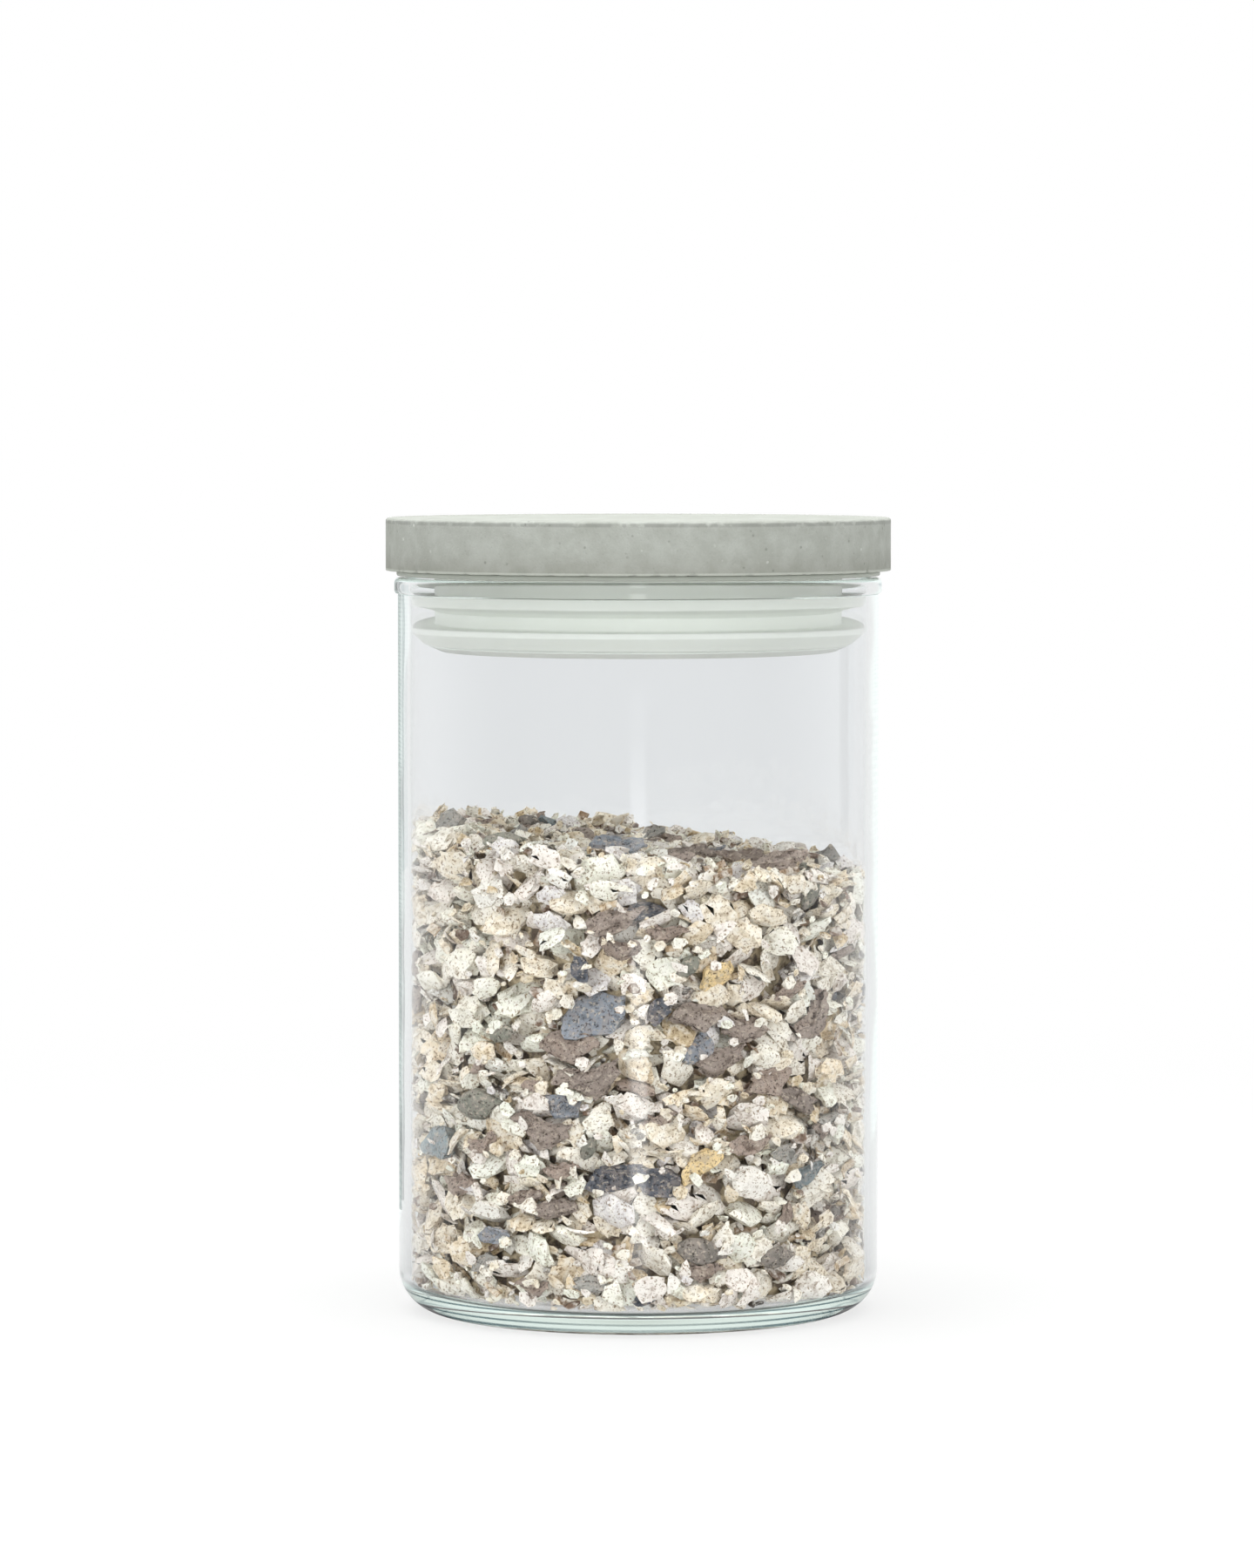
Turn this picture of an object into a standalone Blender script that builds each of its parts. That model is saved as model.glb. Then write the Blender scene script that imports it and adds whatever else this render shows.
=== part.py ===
"""Glass storage jar with a cast stone lid, a moulded plug, a finned silicone ring and a fill of muesli.

The jar stands on z = 0 with its axis on +Z. Each piece is a turned profile: an outline of (radius, height)
points, with its round stretches as arcs, spun about the jar's axis. The muesli's top is then heaped up, and its
side falls back between the larger pieces that lie against the glass.
"""

import math

import bmesh
import bpy
from mathutils import Matrix, Vector

MM = 0.001

# Turning
SEGMENTS = 64
MERGE_DISTANCE = 0.001 * MM
SHARP_ANGLE_DEG = 35.0
PIECE_GAP = 0.3 * MM

# Glass body
GLASS_DIAMETER = 100.5 * MM
GLASS_HEIGHT = 153.6 * MM
GLASS_WALL = 2.4 * MM
BASE_THICKNESS = 4.5 * MM
BASE_OUTER_RADIUS = 9.0 * MM
BASE_INNER_RADIUS = 6.8 * MM
FOOT_RING_WIDTH = 4.0 * MM
PUNT_DEPTH = 1.2 * MM
PUNT_RAMP_WIDTH = 11.0 * MM
RIM_BEAD_PROJECTION = 0.75 * MM
RIM_BEAD_LAND = 1.55 * MM
RIM_ROUNDING = 1.2 * MM

# Stone lid
CAP_OVERHANG = 1.75 * MM
CAP_THICKNESS = 11.0 * MM
CAP_TOP_ROUNDING = 0.7 * MM
CAP_BOTTOM_ROUNDING = 0.5 * MM
CAP_RECESS_DIAMETER = 60.0 * MM
CAP_RECESS_DEPTH = 2.5 * MM

# Silicone ring: a flange over the rim, a sleeve round the plug and two barbed fins
FLANGE_THICKNESS = 0.8 * MM
FLANGE_SETBACK = 0.5 * MM
SLEEVE_WALL = 2.6 * MM
NECK_FILLET = 0.8 * MM
FIN_PROJECTION = 4.95 * MM
UPPER_FIN_DROP = 3.7 * MM
UPPER_FIN_LIP = 2.4 * MM
UPPER_FIN_SLANT = 1.7 * MM
FIN_SPACING = 2.8 * MM
LOWER_FIN_LIP = 1.2 * MM
LOWER_FIN_SLANT = 2.7 * MM
LOWER_FIN_HEEL_SETBACK = 2.65 * MM
FIN_TIP_ROUNDING = 0.35 * MM

# Moulded plug
PLUG_LIP_SETBACK = 0.8 * MM
PLUG_LIP_LAND = 0.4 * MM
PLUG_LIP_CHAMFER_DROP = 1.1 * MM
PLUG_LIP_CHAMFER_RUN = 2.2 * MM
PLUG_LIP_ROUNDING = 0.3 * MM
PLUG_SPIGOT_BEVEL = 0.4 * MM
PLUG_FOOT_WIDTH = 6.9 * MM
PLUG_DISH_DEPTH = 1.2 * MM
PLUG_DISH_DRAFT = 1.0 * MM

# Muesli
FILL_BELOW_RIM = 56.6 * MM
FILL_DROP_ACROSS = 10.0 * MM
FILL_LUMP_HEIGHT = 2.2 * MM
FILL_LUMP_SPACING = 15.0 * MM
FILL_CROSS_SPACING = 11.5 * MM
FILL_TOP_RINGS = 9
FILL_PIECE_SPACING = 14.2 * MM
FILL_PIECE_RISE = 12.2 * MM
FILL_HOLLOW_DEPTH = 3.2 * MM
FILL_WALL_ROWS = 14

# Steps of the round stretches, and how much of a side one rounded corner may take
WIDE_ARC_STEPS = 8
SMALL_ARC_STEPS = 4
TINY_ARC_STEPS = 2
ROUNDING_SHARE = 0.45

# Worked out from the sizes above
glass_radius = GLASS_DIAMETER / 2
inner_radius = glass_radius - GLASS_WALL
rim_radius = glass_radius + RIM_BEAD_PROJECTION
rim_rounding = min(RIM_ROUNDING, ROUNDING_SHARE * (rim_radius - inner_radius))
lid_underside = GLASS_HEIGHT + PIECE_GAP + FLANGE_THICKNESS + PIECE_GAP
cap_radius = rim_radius + CAP_OVERHANG
flange_radius = rim_radius - FLANGE_SETBACK
fin_radius = inner_radius - PIECE_GAP
neck_radius = fin_radius - FIN_PROJECTION
heel_radius = fin_radius - LOWER_FIN_HEEL_SETBACK
bore_radius = neck_radius - SLEEVE_WALL
core_radius = bore_radius - PIECE_GAP
lip_radius = heel_radius - PLUG_LIP_SETBACK
fill_radius = inner_radius - PIECE_GAP
fill_bottom = BASE_THICKNESS + PIECE_GAP
fill_level = GLASS_HEIGHT - FILL_BELOW_RIM

# Heights of the ring and the plug, counted up from the underside of the stone lid
flange_top = -PIECE_GAP
flange_foot = flange_top - FLANGE_THICKNESS
upper_fin_top = flange_foot - UPPER_FIN_DROP
upper_fin_edge = upper_fin_top - UPPER_FIN_LIP
upper_fin_root = upper_fin_edge - UPPER_FIN_SLANT
lower_fin_top = upper_fin_root - FIN_SPACING
lower_fin_edge = lower_fin_top - LOWER_FIN_LIP
ring_foot = lower_fin_edge - LOWER_FIN_SLANT
lip_top = ring_foot - PIECE_GAP
lip_edge = lip_top - PLUG_LIP_LAND
plug_foot = lip_edge - PLUG_LIP_CHAMFER_DROP


def clear_scene():
    """Removes everything that the scene starts with."""
    for obj in list(bpy.data.objects):
        bpy.data.objects.remove(obj, do_unlink=True)


def material(name, color, roughness, metallic=0.0, transmission=0.0):
    """A plain material with the piece's colour, as red, green and blue."""
    made = bpy.data.materials.new(name)
    made.use_nodes = True
    shader = made.node_tree.nodes["Principled BSDF"]
    shader.inputs["Base Color"].default_value = (*color, 1.0)
    shader.inputs["Roughness"].default_value = roughness
    shader.inputs["Metallic"].default_value = metallic
    shader.inputs["Transmission Weight"].default_value = transmission
    return made


def arc(centre, radius, start_deg, end_deg, steps):
    """Points along an arc about (radius, height) centre, both ends included."""
    points = []
    for step in range(steps + 1):
        angle = math.radians(start_deg + (end_deg - start_deg) * step / steps)
        points.append((centre[0] + radius * math.cos(angle), centre[1] + radius * math.sin(angle)))
    return points


def rounded(before, corner, after, radius, steps):
    """The corner of an outline, rounded with a tangent arc that leaves room on both of its sides."""
    here = Vector(corner)
    back = (Vector(before) - here).normalized()
    ahead = (Vector(after) - here).normalized()
    half = back.angle(ahead) / 2
    shorter_side = min((Vector(before) - here).length, (Vector(after) - here).length)
    reach = min(radius / math.tan(half), ROUNDING_SHARE * shorter_side)
    radius = reach * math.tan(half)
    middle = here + (back + ahead).normalized() * (radius / math.sin(half))
    first = here + back * reach - middle
    last = here + ahead * reach - middle
    turn = math.atan2(first.x * last.y - first.y * last.x, first.dot(last))
    points = []
    for step in range(steps + 1):
        spun = Matrix.Rotation(turn * step / steps, 2) @ first
        points.append(tuple(middle + spun))
    return points


def turned(name, outline, closed, place, finish, parent=None):
    """Spins an outline of (radius, height) points about the Z axis and makes an object of it.

    A closed outline goes round a ring's section. An open one starts and ends on the axis.
    """
    shape = bmesh.new()
    row = [shape.verts.new((radius, 0.0, height)) for radius, height in outline]
    pairs = list(zip(row, row[1:]))
    if closed:
        pairs.append((row[-1], row[0]))
    edges = [shape.edges.new(pair) for pair in pairs]
    bmesh.ops.spin(
        shape,
        geom=row + edges,
        cent=(0, 0, 0),
        axis=(0, 0, 1),
        angle=2 * math.pi,
        steps=SEGMENTS,
        use_merge=True,
    )
    bmesh.ops.remove_doubles(shape, verts=shape.verts, dist=MERGE_DISTANCE)
    bmesh.ops.recalc_face_normals(shape, faces=shape.faces)
    mesh = bpy.data.meshes.new(name)
    shape.to_mesh(mesh)
    shape.free()
    mesh.materials.append(finish)
    mesh.shade_smooth()
    mesh.set_sharp_from_angle(angle=math.radians(SHARP_ANGLE_DEG))
    obj = bpy.data.objects.new(name, mesh)
    bpy.context.scene.collection.objects.link(obj)
    obj.location = place
    obj.parent = parent
    return obj


def axis_empty(name, place, parent=None):
    """An empty that marks a joint's axis."""
    empty = bpy.data.objects.new(name, None)
    bpy.context.scene.collection.objects.link(empty)
    empty.empty_display_size = cap_radius
    empty.location = place
    empty.parent = parent
    return empty


def punt():
    """The hollow under the base: level in the middle, with a smooth ramp down to the foot ring."""
    ramp_end = glass_radius - BASE_OUTER_RADIUS - FOOT_RING_WIDTH
    ramp_start = ramp_end - PUNT_RAMP_WIDTH
    points = [(0.0, PUNT_DEPTH)]
    for step in range(SMALL_ARC_STEPS + 1):
        share = step / SMALL_ARC_STEPS
        height = PUNT_DEPTH * (1 + math.cos(math.pi * share)) / 2
        points.append((ramp_start + PUNT_RAMP_WIDTH * share, height))
    return points


def glass_outline():
    """The glass from the middle of its underside, up the outside, over the rim and down the inside."""
    rim_centre = GLASS_HEIGHT - rim_rounding
    bead_edge = rim_centre - RIM_BEAD_LAND
    outline = punt()
    foot_edge = glass_radius - BASE_OUTER_RADIUS
    outline += arc((foot_edge, BASE_OUTER_RADIUS), BASE_OUTER_RADIUS, -90, 0, WIDE_ARC_STEPS)
    outline += arc((glass_radius, bead_edge), RIM_BEAD_PROJECTION, -90, 0, TINY_ARC_STEPS)
    outline += arc((rim_radius - rim_rounding, rim_centre), rim_rounding, 0, 90, SMALL_ARC_STEPS)
    outline += arc((inner_radius + rim_rounding, rim_centre), rim_rounding, 90, 180, SMALL_ARC_STEPS)
    inner_corner = (inner_radius - BASE_INNER_RADIUS, BASE_THICKNESS + BASE_INNER_RADIUS)
    outline += arc(inner_corner, BASE_INNER_RADIUS, 0, -90, WIDE_ARC_STEPS)
    outline.append((0.0, BASE_THICKNESS))
    return outline


def cap_outline():
    """The stone disc, with a shallow recess in its underside for the plug's spigot."""
    recess = CAP_RECESS_DIAMETER / 2
    outline = [(0.0, CAP_RECESS_DEPTH), (recess, CAP_RECESS_DEPTH), (recess, 0.0)]
    low_centre = (cap_radius - CAP_BOTTOM_ROUNDING, CAP_BOTTOM_ROUNDING)
    outline += arc(low_centre, CAP_BOTTOM_ROUNDING, -90, 0, TINY_ARC_STEPS)
    top_centre = (cap_radius - CAP_TOP_ROUNDING, CAP_THICKNESS - CAP_TOP_ROUNDING)
    outline += arc(top_centre, CAP_TOP_ROUNDING, 0, 90, SMALL_ARC_STEPS)
    outline.append((0.0, CAP_THICKNESS))
    return outline


def ring_outline():
    """The silicone ring's section, clockwise from the top of its bore."""
    bore_top = (bore_radius, flange_top)
    bore_foot = (bore_radius, ring_foot)
    flange_upper = (flange_radius, flange_top)
    flange_lower = (flange_radius, flange_foot)
    neck_top = (neck_radius, flange_foot)
    upper_crook = (neck_radius, upper_fin_top)
    upper_tip = (fin_radius, upper_fin_top)
    upper_edge = (fin_radius, upper_fin_edge)
    upper_root = (neck_radius, upper_fin_root)
    lower_crook = (neck_radius, lower_fin_top)
    lower_tip = (fin_radius, lower_fin_top)
    lower_edge = (fin_radius, lower_fin_edge)
    heel = (heel_radius, ring_foot)
    outline = [bore_top]
    outline += rounded(bore_top, flange_upper, flange_lower, FIN_TIP_ROUNDING, TINY_ARC_STEPS)
    outline += rounded(flange_upper, flange_lower, neck_top, FIN_TIP_ROUNDING, TINY_ARC_STEPS)
    outline += rounded(flange_lower, neck_top, upper_crook, NECK_FILLET, TINY_ARC_STEPS)
    outline.append(upper_crook)
    outline += rounded(upper_crook, upper_tip, upper_edge, FIN_TIP_ROUNDING, TINY_ARC_STEPS)
    outline += rounded(upper_tip, upper_edge, upper_root, FIN_TIP_ROUNDING, TINY_ARC_STEPS)
    outline += [upper_root, lower_crook]
    outline += rounded(lower_crook, lower_tip, lower_edge, FIN_TIP_ROUNDING, TINY_ARC_STEPS)
    outline += rounded(lower_tip, lower_edge, heel, FIN_TIP_ROUNDING, TINY_ARC_STEPS)
    outline += rounded(lower_edge, heel, bore_foot, FIN_TIP_ROUNDING, TINY_ARC_STEPS)
    outline.append(bore_foot)
    return outline


def plug_outline():
    """The moulded plug: a spigot glued in the lid, a core in the ring's bore and a lip under the ring."""
    spigot_radius = CAP_RECESS_DIAMETER / 2 - PIECE_GAP
    spigot_top = CAP_RECESS_DEPTH - PIECE_GAP
    foot_radius = lip_radius - PLUG_LIP_CHAMFER_RUN
    dish_radius = foot_radius - PLUG_FOOT_WIDTH
    dish_roof = plug_foot + PLUG_DISH_DEPTH
    core_foot = (core_radius, lip_top)
    lip_corner = (lip_radius, lip_top)
    chamfer_start = (lip_radius, lip_edge)
    chamfer_end = (foot_radius, plug_foot)
    dish_edge = (dish_radius, plug_foot)
    outline = [(0.0, spigot_top), (spigot_radius - PLUG_SPIGOT_BEVEL, spigot_top)]
    outline.append((spigot_radius, spigot_top - PLUG_SPIGOT_BEVEL))
    outline.append((spigot_radius, flange_top))
    outline.append((core_radius, flange_top))
    outline.append(core_foot)
    outline += rounded(core_foot, lip_corner, chamfer_start, PLUG_LIP_ROUNDING, TINY_ARC_STEPS)
    outline += rounded(lip_corner, chamfer_start, chamfer_end, PLUG_LIP_ROUNDING, TINY_ARC_STEPS)
    outline += rounded(chamfer_start, chamfer_end, dish_edge, PLUG_LIP_ROUNDING, TINY_ARC_STEPS)
    outline.append(dish_edge)
    outline.append((dish_radius - PLUG_DISH_DRAFT, dish_roof))
    outline.append((0.0, dish_roof))
    return outline


def fill_outline():
    """The muesli's outline: a flat bottom, the glass's inner corner, the wall in rows and a level top in rings."""
    corner = (fill_radius - BASE_INNER_RADIUS, fill_bottom + BASE_INNER_RADIUS)
    outline = [(0.0, fill_bottom)]
    outline += arc(corner, BASE_INNER_RADIUS, -90, 0, SMALL_ARC_STEPS)
    for row in range(1, FILL_WALL_ROWS):
        outline.append((fill_radius, corner[1] + (fill_level - corner[1]) * row / FILL_WALL_ROWS))
    for ring in range(FILL_TOP_RINGS + 1):
        outline.append((fill_radius * (1 - ring / FILL_TOP_RINGS), fill_level))
    return outline


def heap_height(x, y):
    """How far the muesli's surface lies above its mean level: a steady slope, and lumps where pieces pile."""
    slope = -FILL_DROP_ACROSS * x / (2 * fill_radius)
    turn = 2 * math.pi / FILL_LUMP_SPACING
    cross_turn = 2 * math.pi / FILL_CROSS_SPACING
    slanting = math.sin(turn * (x + y)) * math.cos(turn * (x - y) / 2)
    square = math.sin(cross_turn * x) * math.sin(turn * y)
    return slope + FILL_LUMP_HEIGHT * (slanting + square) / 2


def hollow_depth(turn, height):
    """How far the muesli's side lies back from the glass, between large pieces that touch it."""
    pieces_around = round(2 * math.pi * fill_radius / FILL_PIECE_SPACING)
    up_turn = 2 * math.pi * height / FILL_PIECE_RISE
    bulge = (1 + math.cos(pieces_around * turn) * math.cos(up_turn)) / 2
    return FILL_HOLLOW_DEPTH * (1 - bulge)


def heap_up(obj):
    """Gives the fill's level top its slope and lumps, and its side the hollows between pieces."""
    wall_foot = fill_bottom + BASE_INNER_RADIUS
    for vertex in obj.data.vertices:
        place = vertex.co
        if place.z < wall_foot - MERGE_DISTANCE:
            continue
        share = (place.z - wall_foot) / (fill_level - wall_foot)
        place.z += share * heap_height(place.x, place.y)
        if place.xy.length > fill_radius - MERGE_DISTANCE:
            turn = math.atan2(place.y, place.x)
            place.xy = place.xy.normalized() * (fill_radius - hollow_depth(turn, place.z))
    obj.data.update()


def build():
    clear_scene()
    clear_glass = material("clear_glass", (0.86, 0.92, 0.91), 0.03, transmission=1.0)
    cast_stone = material("cast_stone", (0.42, 0.43, 0.40), 0.75)
    pale_silicone = material("pale_silicone", (0.68, 0.72, 0.68), 0.45)
    moulded_plastic = material("moulded_plastic", (0.60, 0.64, 0.60), 0.40)
    oat_muesli = material("oat_muesli", (0.62, 0.55, 0.42), 0.90)

    base = (0.0, 0.0, 0.0)
    lid_seat = (0.0, 0.0, lid_underside)
    turned("glass_jar", glass_outline(), False, base, clear_glass)
    fill = turned("muesli_fill", fill_outline(), False, base, oat_muesli)
    heap_up(fill)

    lift_axis = axis_empty("lid_lift_axis", lid_seat)
    turned("seal_ring", ring_outline(), True, base, pale_silicone, lift_axis)
    turn_axis = axis_empty("lid_turn_axis", base, lift_axis)
    turned("lid_cap", cap_outline(), False, base, cast_stone, turn_axis)
    turned("lid_plug", plug_outline(), False, base, moulded_plastic, turn_axis)


build()
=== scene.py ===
"""Glass storage jar, dressed for its render.

The packed model is loaded as a fixed frame. The blown glass, the cast stone disc, the silicone ring and the
moulded plug are turned again with a finer outline. The muesli is poured into the glass piece by piece:
flakes, bran, raisins, seeds and crumbs are modelled in a few shapes each, copied, and pushed against the
glass and against each other. Lengths are in metres. The jar stands on z = 0 with its axis on +Z, and the
muesli falls towards +X.
"""

import math

import bmesh
import bpy
import numpy as np
from mathutils import Euler, Matrix, Vector, noise


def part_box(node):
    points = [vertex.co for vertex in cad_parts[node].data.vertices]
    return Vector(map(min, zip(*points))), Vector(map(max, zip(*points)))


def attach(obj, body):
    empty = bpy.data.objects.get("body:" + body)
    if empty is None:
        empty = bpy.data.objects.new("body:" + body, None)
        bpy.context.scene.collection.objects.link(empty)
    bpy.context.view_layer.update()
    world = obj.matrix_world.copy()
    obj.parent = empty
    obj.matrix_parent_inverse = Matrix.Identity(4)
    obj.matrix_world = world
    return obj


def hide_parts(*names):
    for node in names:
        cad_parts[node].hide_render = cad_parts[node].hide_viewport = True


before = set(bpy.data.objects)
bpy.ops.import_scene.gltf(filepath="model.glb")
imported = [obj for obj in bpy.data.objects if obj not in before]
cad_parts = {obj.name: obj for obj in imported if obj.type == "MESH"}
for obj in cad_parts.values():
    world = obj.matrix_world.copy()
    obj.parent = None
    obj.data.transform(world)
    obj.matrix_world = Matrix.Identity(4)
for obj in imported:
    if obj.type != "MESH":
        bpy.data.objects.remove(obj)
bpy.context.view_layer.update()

bl_info = {
    "name": "Glass storage jar",
    "version": (1, 0, 0),
    "blender": (4, 5, 0),
    "location": "3D View > Sidebar > Jar",
    "description": "Dresses a glass storage jar: glass, stone lid, silicone ring, plug and muesli",
    "category": "Add Mesh",
}

MM = 0.001
glass_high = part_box("glass_jar")[1]
cap_low, cap_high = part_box("lid_cap")
ring_low, ring_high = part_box("seal_ring")
fill_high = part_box("muesli_fill")[1]

# Clearances and steps that all pieces share
PIECE_GAP = 0.3 * MM
SEAT_GAP = 0.05 * MM
MERGE_DISTANCE = 0.001 * MM
TURNING_STEPS = 256
SHARP_ANGLE = math.radians(35)
TINT = "tint"


def linear(red, green, blue):
    """A colour read in a picture, from 0 to 255, as the linear colour that Blender works in."""
    made = []
    for value in (red, green, blue):
        share = value / 255
        made.append(share / 12.92 if share <= 0.04045 else ((share + 0.055) / 1.055) ** 2.4)
    return tuple(made)


def length(name, description, default):
    """A length that the user may change."""
    return bpy.props.FloatProperty(
        name=name, description=description, default=default, min=0.0, precision=5, unit="LENGTH"
    )


def colour(name, description, default):
    """A colour that the user may change."""
    return bpy.props.FloatVectorProperty(
        name=name, description=description, default=default, min=0.0, max=1.0, size=3, subtype="COLOR"
    )


def share(name, description, default):
    """A share from 0 to 1 that the user may change."""
    return bpy.props.FloatProperty(
        name=name, description=description, default=default, min=0.0, max=1.0, subtype="FACTOR"
    )


def power(name, description, default):
    """A strength of light that the user may change."""
    return bpy.props.FloatProperty(name=name, description=description, default=default, min=0.0)


def number(name, description, default):
    """A count that the user may change."""
    return bpy.props.IntProperty(name=name, description=description, default=default, min=0)


class GlassSizes(bpy.types.PropertyGroup):
    """The blown glass body."""

    diameter: length("Diameter", "Outside of the straight wall", 100.5 * MM)
    height: length("Height", "From the foot to the top of the rim", glass_high.z)
    wall: length("Wall", "Thickness of the straight wall", 2.4 * MM)
    base: length("Base", "Height of the floor inside", 4.5 * MM)
    outer_corner: length("Outer corner", "Radius where the wall meets the foot", 9.0 * MM)
    inner_corner: length("Inner corner", "Radius where the wall meets the floor inside", 3.6 * MM)
    foot_ring: length("Foot ring", "Width of the ring that it stands on", 4.0 * MM)
    punt_depth: length("Punt depth", "Hollow under the base", 1.2 * MM)
    punt_ramp: length("Punt ramp", "Width of the slope into the hollow", 11.0 * MM)
    bead_land: length("Bead land", "Straight part of the thicker rim", 1.55 * MM)
    bead: length("Bead", "How far the rim stands out", 0.75 * MM)
    rim_rounding: length("Rim rounding", "Radius of the rim's edges", 1.2 * MM)
    body_colour: colour("Body colour", "Tint of the light that passes a wall", (0.950, 0.964, 0.974))
    shadow_colour: colour("Shadow colour", "Light let through onto what is inside", (0.985, 0.992, 0.99))
    depth_colour: colour("Depth colour", "Tint along the glass, seen in the thick base", (0.20, 0.15, 0.06))
    # Painted light: the glow that the base gives off where a path is cut off, and the painted dark lines in
    # it
    trapped_colour: colour("Trapped light", "Tone of light that stays in the thick base", (0.58, 0.67, 0.65))
    # Painted shade: a darker band at the top of the rim, where the silicone lies on it
    seat_colour: colour("Seat", "Tone of the ring where the silicone lies on the rim", (0.60, 0.62, 0.60))
    # Painted shade: the tone of the dark lines round the foot
    foot_colour: colour("Foot lines", "Tone of the lines round the foot", (0.05, 0.08, 0.10))
    line_colour: colour("Dark lines", "Tone of the lines in the thick base", (0.12, 0.19, 0.21))
    index: bpy.props.FloatProperty(name="Index", description="Index of refraction", default=1.5, min=1.0)


class LidSizes(bpy.types.PropertyGroup):
    """The cast stone disc."""

    diameter: length("Diameter", "Across the disc", cap_high.x - cap_low.x)
    thickness: length("Thickness", "Height of the disc's edge", cap_high.z - cap_low.z)
    top_rounding: length("Top rounding", "Radius of the upper edge", 0.6 * MM)
    bottom_rounding: length("Bottom rounding", "Radius of the lower edge", 0.2 * MM)
    recess_diameter: length("Recess diameter", "Recess for the plug's spigot", 60.0 * MM)
    recess_depth: length("Recess depth", "Depth of that recess", 2.5 * MM)
    cell: length("Cell", "Mesh size of the worn surface", 0.62 * MM)
    pore_depth: length("Pore depth", "Deepest pores and chips", 0.32 * MM)
    pores: number("Pores", "Small pits over the surface", 750)
    chips: number("Chips", "Small chips along the two edges", 210)
    pale: colour("Pale stone", "Light patches", linear(156, 159, 153))
    dark: colour("Dark stone", "Dark patches", linear(145, 148, 141))
    grit: colour("Grit", "Dark grains", linear(100, 102, 96))
    rubbed: colour("Paler edge", "Tone of the lower edge", linear(160, 163, 155))
    chalk: colour("Chalk", "Light grains", linear(182, 184, 179))


class RingSizes(bpy.types.PropertyGroup):
    """The silicone ring: a flange over the rim, a sleeve round the plug and two barbed fins."""

    flange_thickness: length("Flange", "Thickness between disc and rim", 0.8 * MM)
    flange_setback: length("Flange setback", "How far it stays inside the rim", 0.5 * MM)
    sleeve_wall: length("Sleeve wall", "Wall round the plug", 2.6 * MM)
    fin_projection: length("Fin", "How far a fin stands out from the neck", 4.95 * MM)
    upper_drop: length("Upper drop", "Neck between flange and upper fin", 3.7 * MM)
    upper_lip: length("Upper lip", "Height of the upper fin's edge", 2.4 * MM)
    upper_slant: length("Upper slant", "Slope under the upper fin", 1.7 * MM)
    fin_spacing: length("Fin spacing", "Neck between the fins", 2.8 * MM)
    lower_lip: length("Lower lip", "Height of the lower fin's edge", 1.2 * MM)
    lower_slant: length("Lower slant", "Slope under the lower fin", 2.7 * MM)
    heel_setback: length("Heel setback", "How far the foot draws in", 2.65 * MM)
    tip_rounding: length("Tip rounding", "Radius of the fins' edges", 0.35 * MM)
    neck_fillet: length("Neck fillet", "Radius under the flange", 0.8 * MM)
    body_colour: colour("Colour", "Silicone", linear(232, 235, 229))
    # Painted shade: these tones are darker than the silicone's own, set to how light falls on the fins'
    # tips, the band under the flange and the flange's edge
    upper_colour: colour("Upper fin", "Tone of the upper fin's tip", linear(217, 220, 213))
    lower_colour: colour("Lower fin", "Tone of the lower fin's tip", linear(221, 224, 218))
    neck_colour: colour("Upper neck", "Tone of the band under the flange", linear(228, 231, 224))
    flange_colour: colour("Flange", "Tone of the flange's edge", linear(155, 159, 151))


class PlugSizes(bpy.types.PropertyGroup):
    """The moulded plug under the disc."""

    lip_setback: length("Lip setback", "How far the lip stays inside the ring's heel", 0.8 * MM)
    lip_land: length("Lip land", "Straight edge of the lip", 0.4 * MM)
    chamfer_drop: length("Chamfer drop", "Height of the slope under the lip", 1.1 * MM)
    chamfer_run: length("Chamfer run", "Width of that slope", 2.2 * MM)
    lip_rounding: length("Lip rounding", "Radius of the lip's edges", 0.3 * MM)
    spigot_bevel: length("Spigot bevel", "Bevel at the spigot's top", 0.4 * MM)
    foot_width: length("Foot width", "Flat ring round the dish", 6.9 * MM)
    dish_depth: length("Dish depth", "Shallow dish under the plug", 1.2 * MM)
    dish_draft: length("Dish draft", "Slope of the dish's wall", 1.0 * MM)
    body_colour: colour("Colour", "Moulded plastic", linear(214, 217, 212))


class MuesliSizes(bpy.types.PropertyGroup):
    """The muesli's pieces."""

    seed: number("Seed", "Another seed pours the muesli another way", 11)
    level: length("Level", "Mean height of the muesli", 97.0 * MM)
    drop_across: length("Drop", "How much lower it lies at the right", 10.0 * MM)
    lump_height: length("Lumps", "Height of the lumps on top", 1.9 * MM)
    flake_length: length("Flake", "Length of a rolled oat", 7.8 * MM)
    raisin_length: length("Raisin", "Length of a raisin", 10.5 * MM)
    crumb_length: length("Crumb", "Length of a crumb", 2.4 * MM)
    bed_depth: length("Bed depth", "Thickness of the loose pieces at the glass", 5.0 * MM)
    wall_flakes: number("Flakes at the wall", "Whole and broken flakes against the glass", 5200)
    wall_fruit: number("Fruit at the wall", "Raisins and slices against the glass", 240)
    wall_crumbs: number("Crumbs at the wall", "Crumbs against the glass", 5200)
    top_flakes: number("Flakes on top", "Flakes on the heap", 800)
    top_fruit: number("Fruit on top", "Raisins and slices on the heap", 60)
    top_crumbs: number("Crumbs on top", "Crumbs on the heap", 500)
    floor_flakes: number("Flakes on the floor", "Flakes on the glass floor", 600)


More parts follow.
